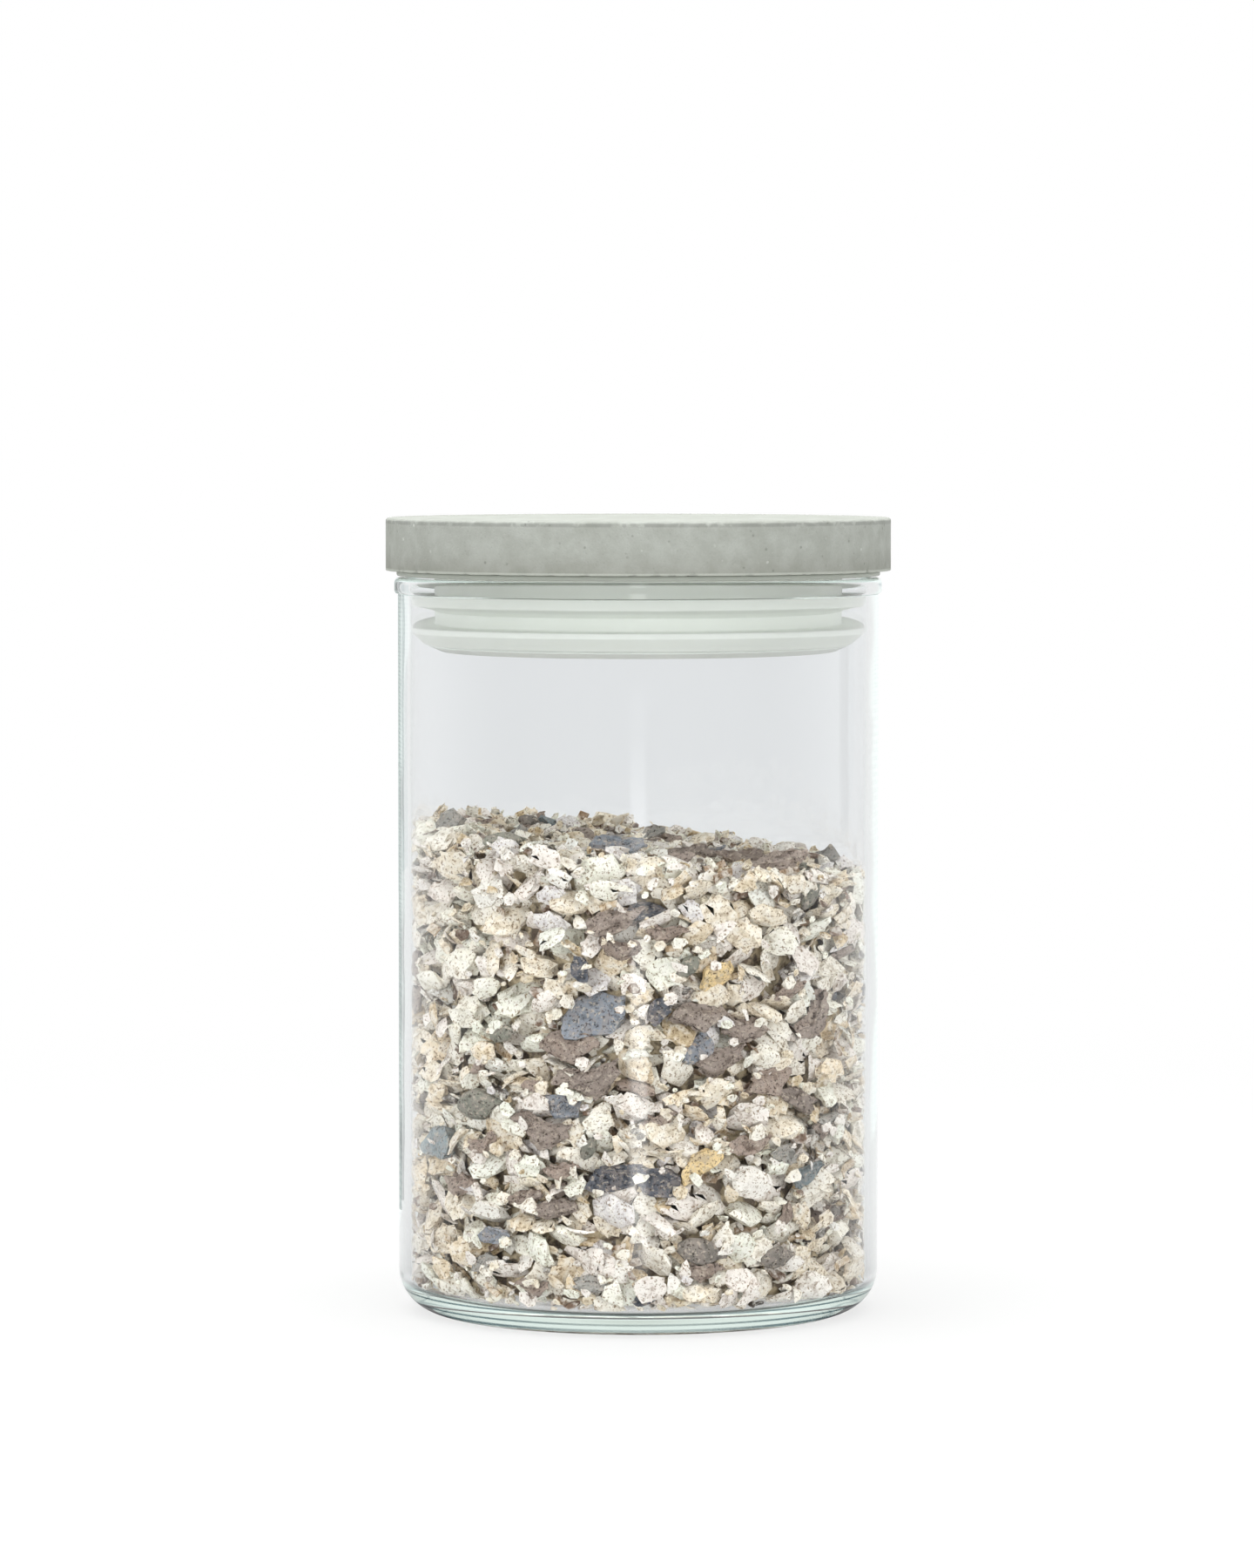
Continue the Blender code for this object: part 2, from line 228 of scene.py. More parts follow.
class StageSizes(bpy.types.PropertyGroup):
    """Camera, light and floor."""

    camera_distance: length("Camera distance", "From the jar's axis", 1400 * MM)
    camera_height: length("Camera height", "Above the floor", 188.5 * MM)
    camera_side: bpy.props.FloatProperty(
        name="Camera side", description="Sideways from the jar's axis", default=-2.36 * MM, unit="LENGTH"
    )
    camera_pitch: bpy.props.FloatProperty(
        name="Camera pitch", description="Downwards tilt", default=math.radians(3.2), subtype="ANGLE"
    )
    lens: bpy.props.FloatProperty(
        name="Lens", description="Focal length, on a sensor 36 mm wide", default=153.8, unit="CAMERA"
    )
    room_level: share("Room light", "Light from the whole room", 0.55)
    backdrop_level: power("Backdrop light", "Light from the white backdrop behind the jar", 1.3)
    inner_level: power("Inner light", "Light from the front on what stands in the glass", 1.40)
    inner_backdrop: power("Inner backdrop light", "Light from behind on what stands in the glass", 2.2)
    deep_level: share("Deep level", "How bright the room shows after two mirrorings in the glass", 0.34)
    reflected_level: share("Reflected room", "How bright the glass mirrors the room in front", 0.04)
    floor_colour: colour("Floor", "Pale floor", (0.36, 0.365, 0.36))
    floor_glow: share("Floor glow", "How white the floor shows close to the jar", 0.72)
    floor_whiteness: power("Floor whiteness", "How far light and glow together reach full white", 1.6)
    streak_level: power("Streak", "Brightness of the lit strip in front that the glass mirrors", 2.7)
    floor_light: share("Floor light", "Light that the floor gives off", 0.62)


def deselect_all():
    """Nothing is selected afterwards, in object mode."""
    if bpy.context.object and bpy.context.object.mode != "OBJECT":
        bpy.ops.object.mode_set(mode="OBJECT")
    bpy.ops.object.select_all(action="DESELECT")


def upright(place):
    """An outline's place, (radius, height), as a place in space."""
    return Vector((place[0], 0.0, place[1]))


def select_parts(pick):
    """Selects, in edit mode, only the vertices or the edges that pick takes from the mesh."""
    bpy.ops.mesh.select_all(action="DESELECT")
    mesh = bpy.context.object.data
    shape = bmesh.from_edit_mesh(mesh)
    for part in pick(shape):
        part.select_set(True)
    shape.select_flush_mode()
    bmesh.update_edit_mesh(mesh)


def select_vertices(chosen):
    """Selects the vertices for whose place chosen says yes."""
    select_parts(lambda shape: [vertex for vertex in shape.verts if chosen(vertex.co)])


def select_nearest(place):
    """Selects the one vertex nearest to a place."""
    select_parts(lambda shape: [min(shape.verts, key=lambda vertex: (vertex.co - place).length_squared)])


def cut_edge(first, last, cuts):
    """Cuts the outline's edge from one (radius, height) place to another into shorter ones."""
    middle = (upright(first) + upright(last)) / 2

    def away(edge):
        return ((edge.verts[0].co + edge.verts[1].co) / 2 - middle).length

    select_parts(lambda shape: [min(shape.edges, key=away)])
    bpy.ops.mesh.subdivide(number_cuts=cuts)


def start_outline(name, first):
    """Adds a plane, melts it to one vertex in edit mode and takes that to the outline's first point."""
    deselect_all()
    bpy.ops.mesh.primitive_plane_add(size=MM)
    piece = bpy.context.object
    piece.name = name
    piece.data.name = name
    bpy.ops.object.mode_set(mode="EDIT")
    bpy.ops.mesh.select_all(action="SELECT")
    bpy.ops.mesh.merge(type="CENTER")
    bpy.ops.transform.translate(value=(first[0], 0.0, first[1]))
    return piece


def round_corner(before, corner, after, radius, steps):
    """Rounds a corner of the outline with a tangent arc. Each place is (radius, height)."""
    here = upright(corner)
    back = upright(before) - here
    ahead = upright(after) - here
    reach = radius / math.tan(back.angle(ahead) / 2)
    select_nearest(here)
    bpy.ops.mesh.bevel(
        affect="VERTICES",
        offset=reach,
        offset_type="OFFSET",
        segments=steps,
        profile=0.5,
        clamp_overlap=True,
    )


def draw_outline(name, corners, closed=False):
    """Draws a turned piece's section in the XZ plane, as by hand: each next point is extruded from the last.

    corners are (radius, height) or (radius, height, rounding, steps). A closed outline joins its ends.
    """
    piece = start_outline(name, corners[0])
    for last, following in zip(corners, corners[1:]):
        step = (following[0] - last[0], 0.0, following[1] - last[1])
        bpy.ops.mesh.extrude_vertices_move(TRANSFORM_OT_translate={"value": step})
    if closed:
        ends = (upright(corners[0]), upright(corners[-1]))
        select_vertices(lambda place: min((place - end).length for end in ends) < MERGE_DISTANCE)
        bpy.ops.mesh.edge_face_add()
    for index, corner in enumerate(corners):
        if len(corner) == 4:
            before = corners[index - 1]
            after = corners[(index + 1) % len(corners)]
            round_corner(before, corner, after, corner[2], corner[3])
    return piece


def spin_outline(steps):
    """Spins the outline in edit mode about the jar's axis and closes the shape."""
    bpy.ops.mesh.select_all(action="SELECT")
    bpy.ops.mesh.spin(steps=steps, dupli=False, angle=2 * math.pi, center=(0, 0, 0), axis=(0, 0, 1))
    bpy.ops.mesh.select_all(action="SELECT")
    bpy.ops.mesh.remove_doubles(threshold=MERGE_DISTANCE)
    bpy.ops.mesh.normals_make_consistent(inside=False)
    bpy.ops.object.mode_set(mode="OBJECT")
    bpy.ops.object.shade_smooth_by_angle(angle=SHARP_ANGLE)


def finish_piece(piece, finish, body, slot_name, *nodes):
    """Gives a piece its material and its body, and hides the CAD nodes that it stands for."""
    piece.data.materials.clear()
    piece.data.materials.append(finish)
    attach(piece, body)
    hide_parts(*nodes)


class Value:
    """A number that changes over a surface. Sums on it add Math nodes."""

    def __init__(self, nodes, socket):
        self.nodes = nodes
        self.socket = socket

    def math(self, operation, *values, clamp=False):
        inputs = dict(enumerate(values))
        return self.nodes.add("ShaderNodeMath", {"operation": operation, "use_clamp": clamp}, inputs)

    def __add__(self, other):
        return self.math("ADD", self, other)

    def __radd__(self, other):
        return self.math("ADD", other, self)

    def __sub__(self, other):
        return self.math("SUBTRACT", self, other)

    def __rsub__(self, other):
        return self.math("SUBTRACT", other, self)

    def __mul__(self, other):
        return self.math("MULTIPLY", self, other)

    def __rmul__(self, other):
        return self.math("MULTIPLY", other, self)

    def __truediv__(self, other):
        return self.math("DIVIDE", self, other)

    def __gt__(self, other):
        return self.math("GREATER_THAN", self, other)

    def __lt__(self, other):
        return self.math("LESS_THAN", self, other)

    def __abs__(self):
        return self.math("ABSOLUTE", self)

    def clamped(self):
        return self.math("ADD", self, 0.0, clamp=True)


class Nodes:
    """The node tree of a material or of the world. Every node is added by one method."""

    def __init__(self, tree):
        self.tree = tree
        tree.nodes.clear()

    def add(self, kind, settings=None, inputs=None, output=0):
        """Adds a node: its settings first, then values or links for its sockets. Gives one output."""
        node = self.tree.nodes.new(kind)
        for name, value in (settings or {}).items():
            setattr(node, name, value)
        for key, value in (inputs or {}).items():
            self.set_input(self.find(node.inputs, key), value)
        if not node.outputs:
            return None
        return Value(self, self.find(node.outputs, output))

    def find(self, sockets, key):
        """A socket by its number, its identifier or its name."""
        if isinstance(key, int):
            return sockets[key]
        for socket in sockets:
            if socket.identifier == key:
                return socket
        return sockets[key]

    def set_input(self, socket, value):
        """Links a Value, or sets a constant on the socket itself."""
        if isinstance(value, Value):
            self.tree.links.new(value.socket, socket)
        elif socket.type == "RGBA" and len(value) == 3:
            socket.default_value = (*value, 1.0)
        else:
            socket.default_value = value

    def blend(self, factor, first, second, way="MIX"):
        """A colour between two others."""
        settings = {"data_type": "RGBA", "blend_type": way}
        inputs = {"Factor_Float": factor, "A_Color": first, "B_Color": second}
        return self.add("ShaderNodeMix", settings, inputs, "Result_Color")

    def ramp(self, factor, low, high):
        """Rises smoothly from 0 at low to 1 at high."""
        settings = {"interpolation_type": "SMOOTHSTEP"}
        inputs = {"Value": factor, "From Min": low, "From Max": high}
        return self.add("ShaderNodeMapRange", settings, inputs, "Result")

    def place(self):
        """Where a point lies on the object."""
        return self.add("ShaderNodeTexCoord", None, None, "Object")

    def along(self, place, axis):
        """How far a place lies along X, Y or Z."""
        return self.add("ShaderNodeSeparateXYZ", None, {0: place}, axis)

    def distance(self, place):
        """How far a place lies from the origin."""
        return self.add("ShaderNodeVectorMath", {"operation": "LENGTH"}, {0: place}, "Value")

    def from_axis(self, place):
        """How far a place lies from the jar's axis."""
        inputs = {0: place, 1: (1.0, 1.0, 0.0)}
        return self.distance(self.add("ShaderNodeVectorMath", {"operation": "MULTIPLY"}, inputs, "Vector"))

    def light_path(self, output):
        """What kind of ray meets the surface, or how often its light was scattered."""
        return self.add("ShaderNodeLightPath", None, None, output)

    def surface(self, inputs):
        """A Principled surface, linked to the material's output."""
        body = self.add("ShaderNodeBsdfPrincipled", None, inputs, "BSDF")
        self.add("ShaderNodeOutputMaterial", None, {"Surface": body})

    def noise(self, place, feature, detail=2.0, roughness=0.5):
        """Cloudy noise whose features are about one length across, from 0 to 1."""
        inputs = {"Vector": place, "Scale": 1 / feature, "Detail": detail, "Roughness": roughness}
        return self.add("ShaderNodeTexNoise", None, inputs, "Fac")

    def cells(self, place, feature):
        """How far a point lies from the middle of its Voronoi cell. Cells are about one length across."""
        return self.add("ShaderNodeTexVoronoi", None, {"Vector": place, "Scale": 1 / feature}, "Distance")

    def bump(self, height, distance, strength):
        """A Bump node, for a Normal socket."""
        inputs = {"Height": height, "Distance": distance, "Strength": strength}
        return self.add("ShaderNodeBump", None, inputs, "Normal")

    def mix_shader(self, factor, first, second):
        """A Mix Shader node."""
        return self.add("ShaderNodeMixShader", None, {0: factor, 1: first, 2: second})


def new_material(name):
    """An empty material and its nodes."""
    made = bpy.data.materials.new(name)
    made.use_nodes = True
    return made, Nodes(made.node_tree)


# Heights of the painted dark lines round the foot and half their widths
PAINTED_FOOT_LINES = ((1.2 * MM, 0.56 * MM), (2.7 * MM, 0.34 * MM), (4.95 * MM, 0.28 * MM))


def foot_lines(nodes, place, height):
    """Thin dark lines painted round the foot, as painted shade and painted reflections like those that thick
    glass shows, strongest to the left and to the right.
    """
    sideways = nodes.ramp(abs(nodes.along(place, "X")), 6 * MM, 30 * MM)
    outside = nodes.ramp(nodes.from_axis(place), 40.5 * MM, 42 * MM)
    lines = 0
    for middle, half in PAINTED_FOOT_LINES:
        lines = lines + 1 - nodes.ramp(abs(height - middle), half * 0.4, half)
    return lines * outside * (0.74 + sideways * 0.26)


GLASS_DENSITY = 10.0
MOST_MIRRORED = 4
# Spacing of the painted dark lines in the glow
LINE_SPACING = 1.7 * MM


def glass_material(sizes):
    """Clear glass with a faint wave in its surface. What is inside is lit through it.

    A path of light that is mirrored inside the base MOST_MIRRORED times is cut off there. The glass then
    gives off a painted glow in the room's pale tone, with painted dark lines like those that a thick base
    shows.
    """
    made, nodes = new_material("clear_glass")
    made.cycles.emission_sampling = "NONE"
    place = nodes.place()
    wave = nodes.noise(place, 26 * MM, 1.0)
    often = nodes.light_path("Glossy Depth") > MOST_MIRRORED - 0.5
    through = nodes.light_path("Is Transmission Ray")
    mirrored = often * (1 - through)
    height = nodes.along(place, "Z")
    # Painted dark lines in the glow, in rings up the glass
    drift = nodes.noise(place, 24 * MM, 1.0)
    phase = height * (math.pi / LINE_SPACING) + drift * 5.0
    ripple = phase.math("SINE", phase)
    line = 1 - nodes.ramp(abs(ripple), 0.0, 0.36)
    # Painted shade: a dark band along the top of the rim, under the silicone's flange
    below_rim = glass_high.z - height
    rim_shade = nodes.ramp(below_rim, -0.1 * MM, 0.0) * (1 - nodes.ramp(below_rim, 0.35 * MM, 0.6 * MM))
    # Painted light: the glow's tone, crossed by the painted dark lines
    painted_glow = nodes.blend(line, sizes.trapped_colour, sizes.line_colour)
    tint = nodes.blend(rim_shade, sizes.body_colour, sizes.seat_colour)
    # Painted shade and painted reflections: dark lines round the foot
    tint = nodes.blend(foot_lines(nodes, place, height), tint, sizes.foot_colour)
    body = nodes.add(
        "ShaderNodeBsdfPrincipled",
        None,
        {
            "Base Color": tint,
            "Roughness": 0.0,
            "IOR": sizes.index,
            "Transmission Weight": 1.0,
            "Normal": nodes.bump(wave, 0.6 * MM, 0.20),
            # Painted glow: emission only on paths that were cut off in the base
            "Emission Color": nodes.blend(mirrored, (0.0, 0.0, 0.0), painted_glow),
            "Emission Strength": 1.0,
        },
        "BSDF",
    )
    shadow = nodes.add("ShaderNodeBsdfTransparent", None, {"Color": sizes.shadow_colour})
    shadow_ray = nodes.light_path("Is Shadow Ray")
    surface = nodes.mix_shader(shadow_ray, body, shadow)
    depth = nodes.add(
        "ShaderNodeVolumeAbsorption", None, {"Color": sizes.depth_colour, "Density": GLASS_DENSITY}
    )
    nodes.add("ShaderNodeOutputMaterial", None, {"Surface": surface, "Volume": depth})
    return made


def worn_edges(nodes, place, tone, rubbed):
    """The side's tone: a thin notched darker line under the top edge, painted shade that darkens it lower
    down, and a paler band at the foot.
    """
    height = nodes.along(place, "Z")
    below = cap_high.z - height
    notches = nodes.ramp(nodes.noise(place, 4.5 * MM, 3.0, 0.7), 0.36, 0.46)
    line = nodes.ramp(below, 0.30 * MM, 0.55 * MM) * (1 - nodes.ramp(below, 0.95 * MM, 1.35 * MM)) * notches
    tone = nodes.blend(line * 0.75, tone, (0.72, 0.72, 0.72), "MULTIPLY")
    # Painted shade: darker towards the foot, where less light from above reaches the side
    foot = nodes.ramp(below, 4.5 * MM, 11.5 * MM)
    tone = nodes.blend(foot, tone, (0.80, 0.79, 0.77), "MULTIPLY")
    return nodes.blend(nodes.ramp(below, 10.42 * MM, 10.58 * MM), tone, rubbed)


def stone_material(sizes):
    """Cast stone: soft pale and dark patches, grit, chalky grains and fine pores, with painted shade lower
    down its side.
    """
    made, nodes = new_material("cast_stone")
    place = nodes.place()
    patches = nodes.noise(place, 5.5 * MM, 3.0, 0.62)
    clouds = nodes.noise(place, 17 * MM, 2.0)
    mottle = nodes.ramp(patches * 0.7 + clouds * 0.3, 0.36, 0.64)
    tone = nodes.blend(mottle, sizes.dark, sizes.pale)
    grit = nodes.cells(place, 1.9 * MM)
    grit_size = nodes.noise(place, 2.6 * MM, 1.0)
    dark_grains = 1 - nodes.ramp(grit, 0.10, 0.20)
    some = nodes.ramp(grit_size, 0.52, 0.66)
    tone = nodes.blend(dark_grains * some * 0.5, tone, sizes.grit)
    chalk = nodes.cells(place, 2.7 * MM)
    light_grains = 1 - nodes.ramp(chalk, 0.09, 0.17)
    others = nodes.ramp(grit_size, 0.30, 0.46)
    tone = nodes.blend(light_grains * (1 - others) * 0.75, tone, sizes.chalk)
    tone = worn_edges(nodes, place, tone, sizes.rubbed)
    fine = nodes.noise(place, 0.45 * MM, 3.0, 0.7)
    tone = nodes.blend(0.10, tone, nodes.blend(fine, (0.0, 0.0, 0.0), (1.0, 1.0, 1.0)), "OVERLAY")
    pores = nodes.cells(place, 0.9 * MM)
    height = fine * 0.5 + nodes.ramp(pores, 0.05, 0.35) * 0.5
    nodes.surface(
        {
            "Base Color": tone,
            "Roughness": 0.80 + fine * 0.12,
            "Specular IOR Level": 0.35,
            "Normal": nodes.bump(height, 0.09 * MM, 0.7),
        }
    )
    return made


def silicone_material(sizes):
    """Pale silicone: soft, a little see-through, with a dusty bloom that changes its gloss. Its tone carries
    painted shade: darker fin tips, a slightly darker band under the flange and a dark flange edge.
    """
    made, nodes = new_material("pale_silicone")
    place = nodes.place()
    bloom = nodes.noise(place, 7 * MM, 3.0, 0.6)
    dust = nodes.noise(place, 0.6 * MM, 2.0, 0.6)
    height = nodes.along(place, "Z")
    out = nodes.from_axis(place)
    upper = height > (ring_low.z + ring_high.z) / 2
    # Painted shade, zone by zone: darker fin tips, band under the flange and flange edge
    fins = nodes.blend(upper, sizes.lower_colour, sizes.upper_colour)
    band = nodes.ramp(height, ring_high.z - 4.3 * MM, ring_high.z - 3.7 * MM)
    tip = nodes.ramp(out, 43.5 * MM, 46.5 * MM)
    tone = nodes.blend(tip, sizes.body_colour, fins)
    tone = nodes.blend(band, tone, sizes.neck_colour)
    edge = nodes.ramp(height, ring_high.z - 1.0 * MM, ring_high.z - 0.8 * MM)
    tone = nodes.blend(edge, tone, sizes.flange_colour)
    nodes.surface(
        {
            "Base Color": nodes.blend((1 - bloom) * 0.3, tone, (0.86, 0.86, 0.85), "MULTIPLY"),
            "Roughness": 0.42 + bloom * 0.16 + dust * 0.06,
            "IOR": 1.41,
            "Subsurface Weight": 0.25,
            "Subsurface Radius": (1.0, 1.0, 0.95),
            "Subsurface Scale": 2.5 * MM,
            "Normal": nodes.bump(dust, 0.03 * MM, 0.5),
        }
    )
    return made


def plastic_material(sizes):
    """Moulded plastic with a fine spark-eroded grain."""
    made, nodes = new_material("moulded_plastic")
    place = nodes.place()
    grain = nodes.noise(place, 0.35 * MM, 2.0, 0.7)
    flow = nodes.noise(place, 14 * MM, 2.0)
    deeper = tuple(value * 0.965 for value in sizes.body_colour)
    nodes.surface(
        {
            "Base Color": nodes.blend(flow, deeper, sizes.body_colour),
            "Roughness": 0.38 + grain * 0.14,
            "Normal": nodes.bump(grain, 0.02 * MM, 0.5),
        }
    )
    return made


OAT_DUST = linear(196, 184, 168)


def muesli_material(name, speckle, bloom, bloom_share, grain, relief, dust_share):
    """Dry food: each piece has its own tint, a pale floury bloom, dark flecks and stuck crumbs of oat."""
    made, nodes = new_material(name)
    place = nodes.place()
    tint = nodes.add("ShaderNodeAttribute", {"attribute_name": TINT}, None, "Color")
    cloud = nodes.noise(place, grain * 3, 2.0, 0.6)
    fleck = nodes.noise(place, grain, 3.0, 0.7)
    shaded = nodes.blend(nodes.ramp(cloud, 0.42, 0.66) * bloom_share, tint, bloom)
    shaded = nodes.blend((1 - nodes.ramp(cloud, 0.30, 0.46)) * 0.5, shaded, speckle, "MULTIPLY")
    shaded = nodes.blend((1 - nodes.ramp(fleck, 0.38, 0.45)) * 0.95, shaded, speckle, "MULTIPLY")
    stuck = nodes.ramp(nodes.noise(place, 0.9 * MM, 3.0, 0.65), 0.56, 0.62)
    shaded = nodes.blend(stuck * dust_share, shaded, OAT_DUST)
    nodes.surface(
        {
            "Base Color": shaded,
            "Roughness": 0.70 + fleck * 0.2,
            "Specular IOR Level": 0.3,
            "Normal": nodes.bump(fleck * 0.6 + cloud * 0.4, relief, 0.8),
        }
    )
    return made


WIDE_ARC_STEPS = 16
SMALL_ARC_STEPS = 8
TINY_ARC_STEPS = 4
PUNT_STEPS = 10


def glass_corners(sizes):
    """The glass from the middle of its underside, up the outside, over the rim and down the inside."""
    radius = sizes.diameter / 2
    inside = radius - sizes.wall
    rim = radius + sizes.bead
    ramp_end = radius - sizes.outer_corner - sizes.foot_ring
    ramp_start = ramp_end - sizes.punt_ramp
    corners = [(0.0, sizes.punt_depth)]
    for step in range(PUNT_STEPS + 1):
        part = step / PUNT_STEPS
        corners.append(
            (ramp_start + sizes.punt_ramp * part, sizes.punt_depth * (1 + math.cos(math.pi * part)) / 2)
        )
    bead_edge = sizes.height - sizes.rim_rounding - sizes.bead_land
    corners += [
        (radius, 0.0, sizes.outer_corner, WIDE_ARC_STEPS),
        (radius, bead_edge - sizes.bead),
        (radius + sizes.bead * math.sin(math.pi / 4), bead_edge - sizes.bead * math.cos(math.pi / 4)),
        (rim, bead_edge),
        (rim, sizes.height, sizes.rim_rounding, SMALL_ARC_STEPS),
        (inside, sizes.height, sizes.rim_rounding, SMALL_ARC_STEPS),
        (inside, sizes.base, sizes.inner_corner, WIDE_ARC_STEPS),
        (0.0, sizes.base),
    ]
    return corners


class JAR_OT_glass(bpy.types.Operator):
    """Turns the blown glass body with its rim, its thick base and the punt under it"""

    bl_idname = "jar.glass"
    bl_label = "Glass body"

    def execute(self, context):
        sizes = context.scene.jar_glass
        piece = draw_outline("glass_body", glass_corners(sizes))
        spin_outline(TURNING_STEPS)
        finish_piece(piece, glass_material(sizes), "jar", "clear_glass", "glass_jar")
        return {"FINISHED"}


def lid_corners(sizes):
    """The stone disc, with a shallow recess in its underside for the plug's spigot."""
    radius = sizes.diameter / 2
    recess = sizes.recess_diameter / 2
    bottom = cap_low.z
    top = bottom + sizes.thickness
    return [
        (0.0, bottom + sizes.recess_depth),
        (recess, bottom + sizes.recess_depth),
        (recess, bottom),
        (radius, bottom, sizes.bottom_rounding, TINY_ARC_STEPS),
        (radius, top, sizes.top_rounding, TINY_ARC_STEPS),
        (0.0, top),
    ]


LID_SEED = 5
SIDE_PORE_SHARE = 0.36
TOP_CHIP_SHARE = 0.72


def wear_stone(piece, sizes):
    """Presses pores into the disc's top and side, and small chips into its two edges."""
    draw = np.random.default_rng(LID_SEED)
    radius = sizes.diameter / 2
    bottom = cap_low.z
    top = bottom + sizes.thickness
    mesh = piece.data
    count = len(mesh.vertices)
    places = np.empty(count * 3)
    mesh.vertices.foreach_get("co", places)
    places = places.reshape(-1, 3)
    normals = np.empty(count * 3)
    mesh.vertices.foreach_get("normal", normals)
    normals = normals.reshape(-1, 3)

    turn = draw.uniform(0, 2 * np.pi, sizes.pores)
    on_side = draw.random(sizes.pores) < SIDE_PORE_SHARE
    out = np.where(on_side, radius, radius * np.sqrt(draw.random(sizes.pores)))
    height = np.where(on_side, draw.uniform(bottom, top, sizes.pores), top)
    pores = np.stack([out * np.cos(turn), out * np.sin(turn), height], 1)
    pore_reach = draw.uniform(0.5, 1.1, sizes.pores) * MM
    pore_depth = sizes.pore_depth * draw.random(sizes.pores) ** 2

    turn = draw.uniform(0, 2 * np.pi, sizes.chips)
    on_top = draw.random(sizes.chips) < TOP_CHIP_SHARE
    height = np.where(on_top, top, bottom)
    chips = np.stack([radius * np.cos(turn), radius * np.sin(turn), height], 1)
    chip_reach = draw.uniform(0.5, 1.3, sizes.chips) * MM
    chip_depth = sizes.pore_depth * draw.uniform(0.4, 1.4, sizes.chips)

    sunk = np.zeros(count)
    centres = np.concatenate([pores, chips])
    reaches = np.concatenate([pore_reach, chip_reach])
    depths = np.concatenate([pore_depth, chip_depth])
    for centre, reach, depth in zip(centres, reaches, depths):
        away = np.linalg.norm(places - centre, axis=1) / reach
        near = away < 1
        sunk[near] = np.maximum(sunk[near], depth * (1 - away[near] ** 2) ** 2)
    outside = (np.hypot(places[:, 0], places[:, 1]) > sizes.recess_diameter / 2 + sizes.cell) | (
        places[:, 2] > top - sizes.cell
    )
    sunk[~outside] = 0.0
    places -= normals * sunk[:, None]
    mesh.vertices.foreach_set("co", places.ravel())
    mesh.update()


class JAR_OT_lid(bpy.types.Operator):
    """Turns the cast stone disc and wears its surface with pores and small chips"""

    bl_idname = "jar.lid"
    bl_label = "Stone lid"

    def execute(self, context):
        sizes = context.scene.jar_lid
        corners = lid_corners(sizes)
        piece = draw_outline("stone_lid", corners)
        radius = sizes.diameter / 2
        bottom = cap_low.z
        top = bottom + sizes.thickness
        edges = [
            ((radius, bottom), (radius, top)),
            ((0.0, top), (radius, top)),
            ((sizes.recess_diameter / 2, bottom), (radius, bottom)),
        ]
        for first, last in edges:
            cut_edge(first, last, int(math.dist(first, last) / sizes.cell))
        spin_outline(int(math.pi * sizes.diameter / sizes.cell))
        wear_stone(piece, sizes)
        finish_piece(piece, stone_material(sizes), "lid", "cast_stone", "lid_cap")
        return {"FINISHED"}


def ring_radii(glass, ring):
    """The ring's radii, outside to inside, as they follow from the glass's mouth."""
    tip = glass.diameter / 2 - glass.wall - PIECE_GAP
    flange = glass.diameter / 2 + glass.bead - ring.flange_setback
    neck = tip - ring.fin_projection
    return flange, tip, tip - ring.heel_setback, neck, neck - ring.sleeve_wall


def ring_corners(glass, ring):
    """The silicone ring's section, from the top of its bore, out and down over flange and fins."""
    flange, tip, heel, neck, bore = ring_radii(glass, ring)
    flange_top = cap_low.z - SEAT_GAP
    flange_foot = cap_low.z - PIECE_GAP - ring.flange_thickness
    upper_top = flange_foot - ring.upper_drop
    upper_edge = upper_top - ring.upper_lip
    upper_root = upper_edge - ring.upper_slant
    lower_top = upper_root - ring.fin_spacing
    lower_edge = lower_top - ring.lower_lip
    foot = lower_edge - ring.lower_slant
    tip_round = (ring.tip_rounding, TINY_ARC_STEPS)
    neck_round = (ring.neck_fillet, TINY_ARC_STEPS)
    return [
        (bore, flange_top),
        (flange, flange_top, *tip_round),
        (flange, flange_foot, *tip_round),
        (neck, flange_foot, *neck_round),
        (neck, upper_top, *tip_round),
        (tip, upper_top, *tip_round),
        (tip, upper_edge, *tip_round),
        (neck, upper_root, *tip_round),
        (neck, lower_top, *tip_round),
        (tip, lower_top, *tip_round),
        (tip, lower_edge, *tip_round),
        (heel, foot, *tip_round),
        (bore, foot),
    ]


class JAR_OT_ring(bpy.types.Operator):
    """Turns the silicone ring with its flange and its two barbed fins"""

    bl_idname = "jar.ring"
    bl_label = "Silicone ring"

    def execute(self, context):
        scene = context.scene
        piece = draw_outline("silicone_ring", ring_corners(scene.jar_glass, scene.jar_ring), closed=True)
        spin_outline(TURNING_STEPS)
        finish_piece(piece, silicone_material(scene.jar_ring), "seal", "pale_silicone", "seal_ring")
        return {"FINISHED"}


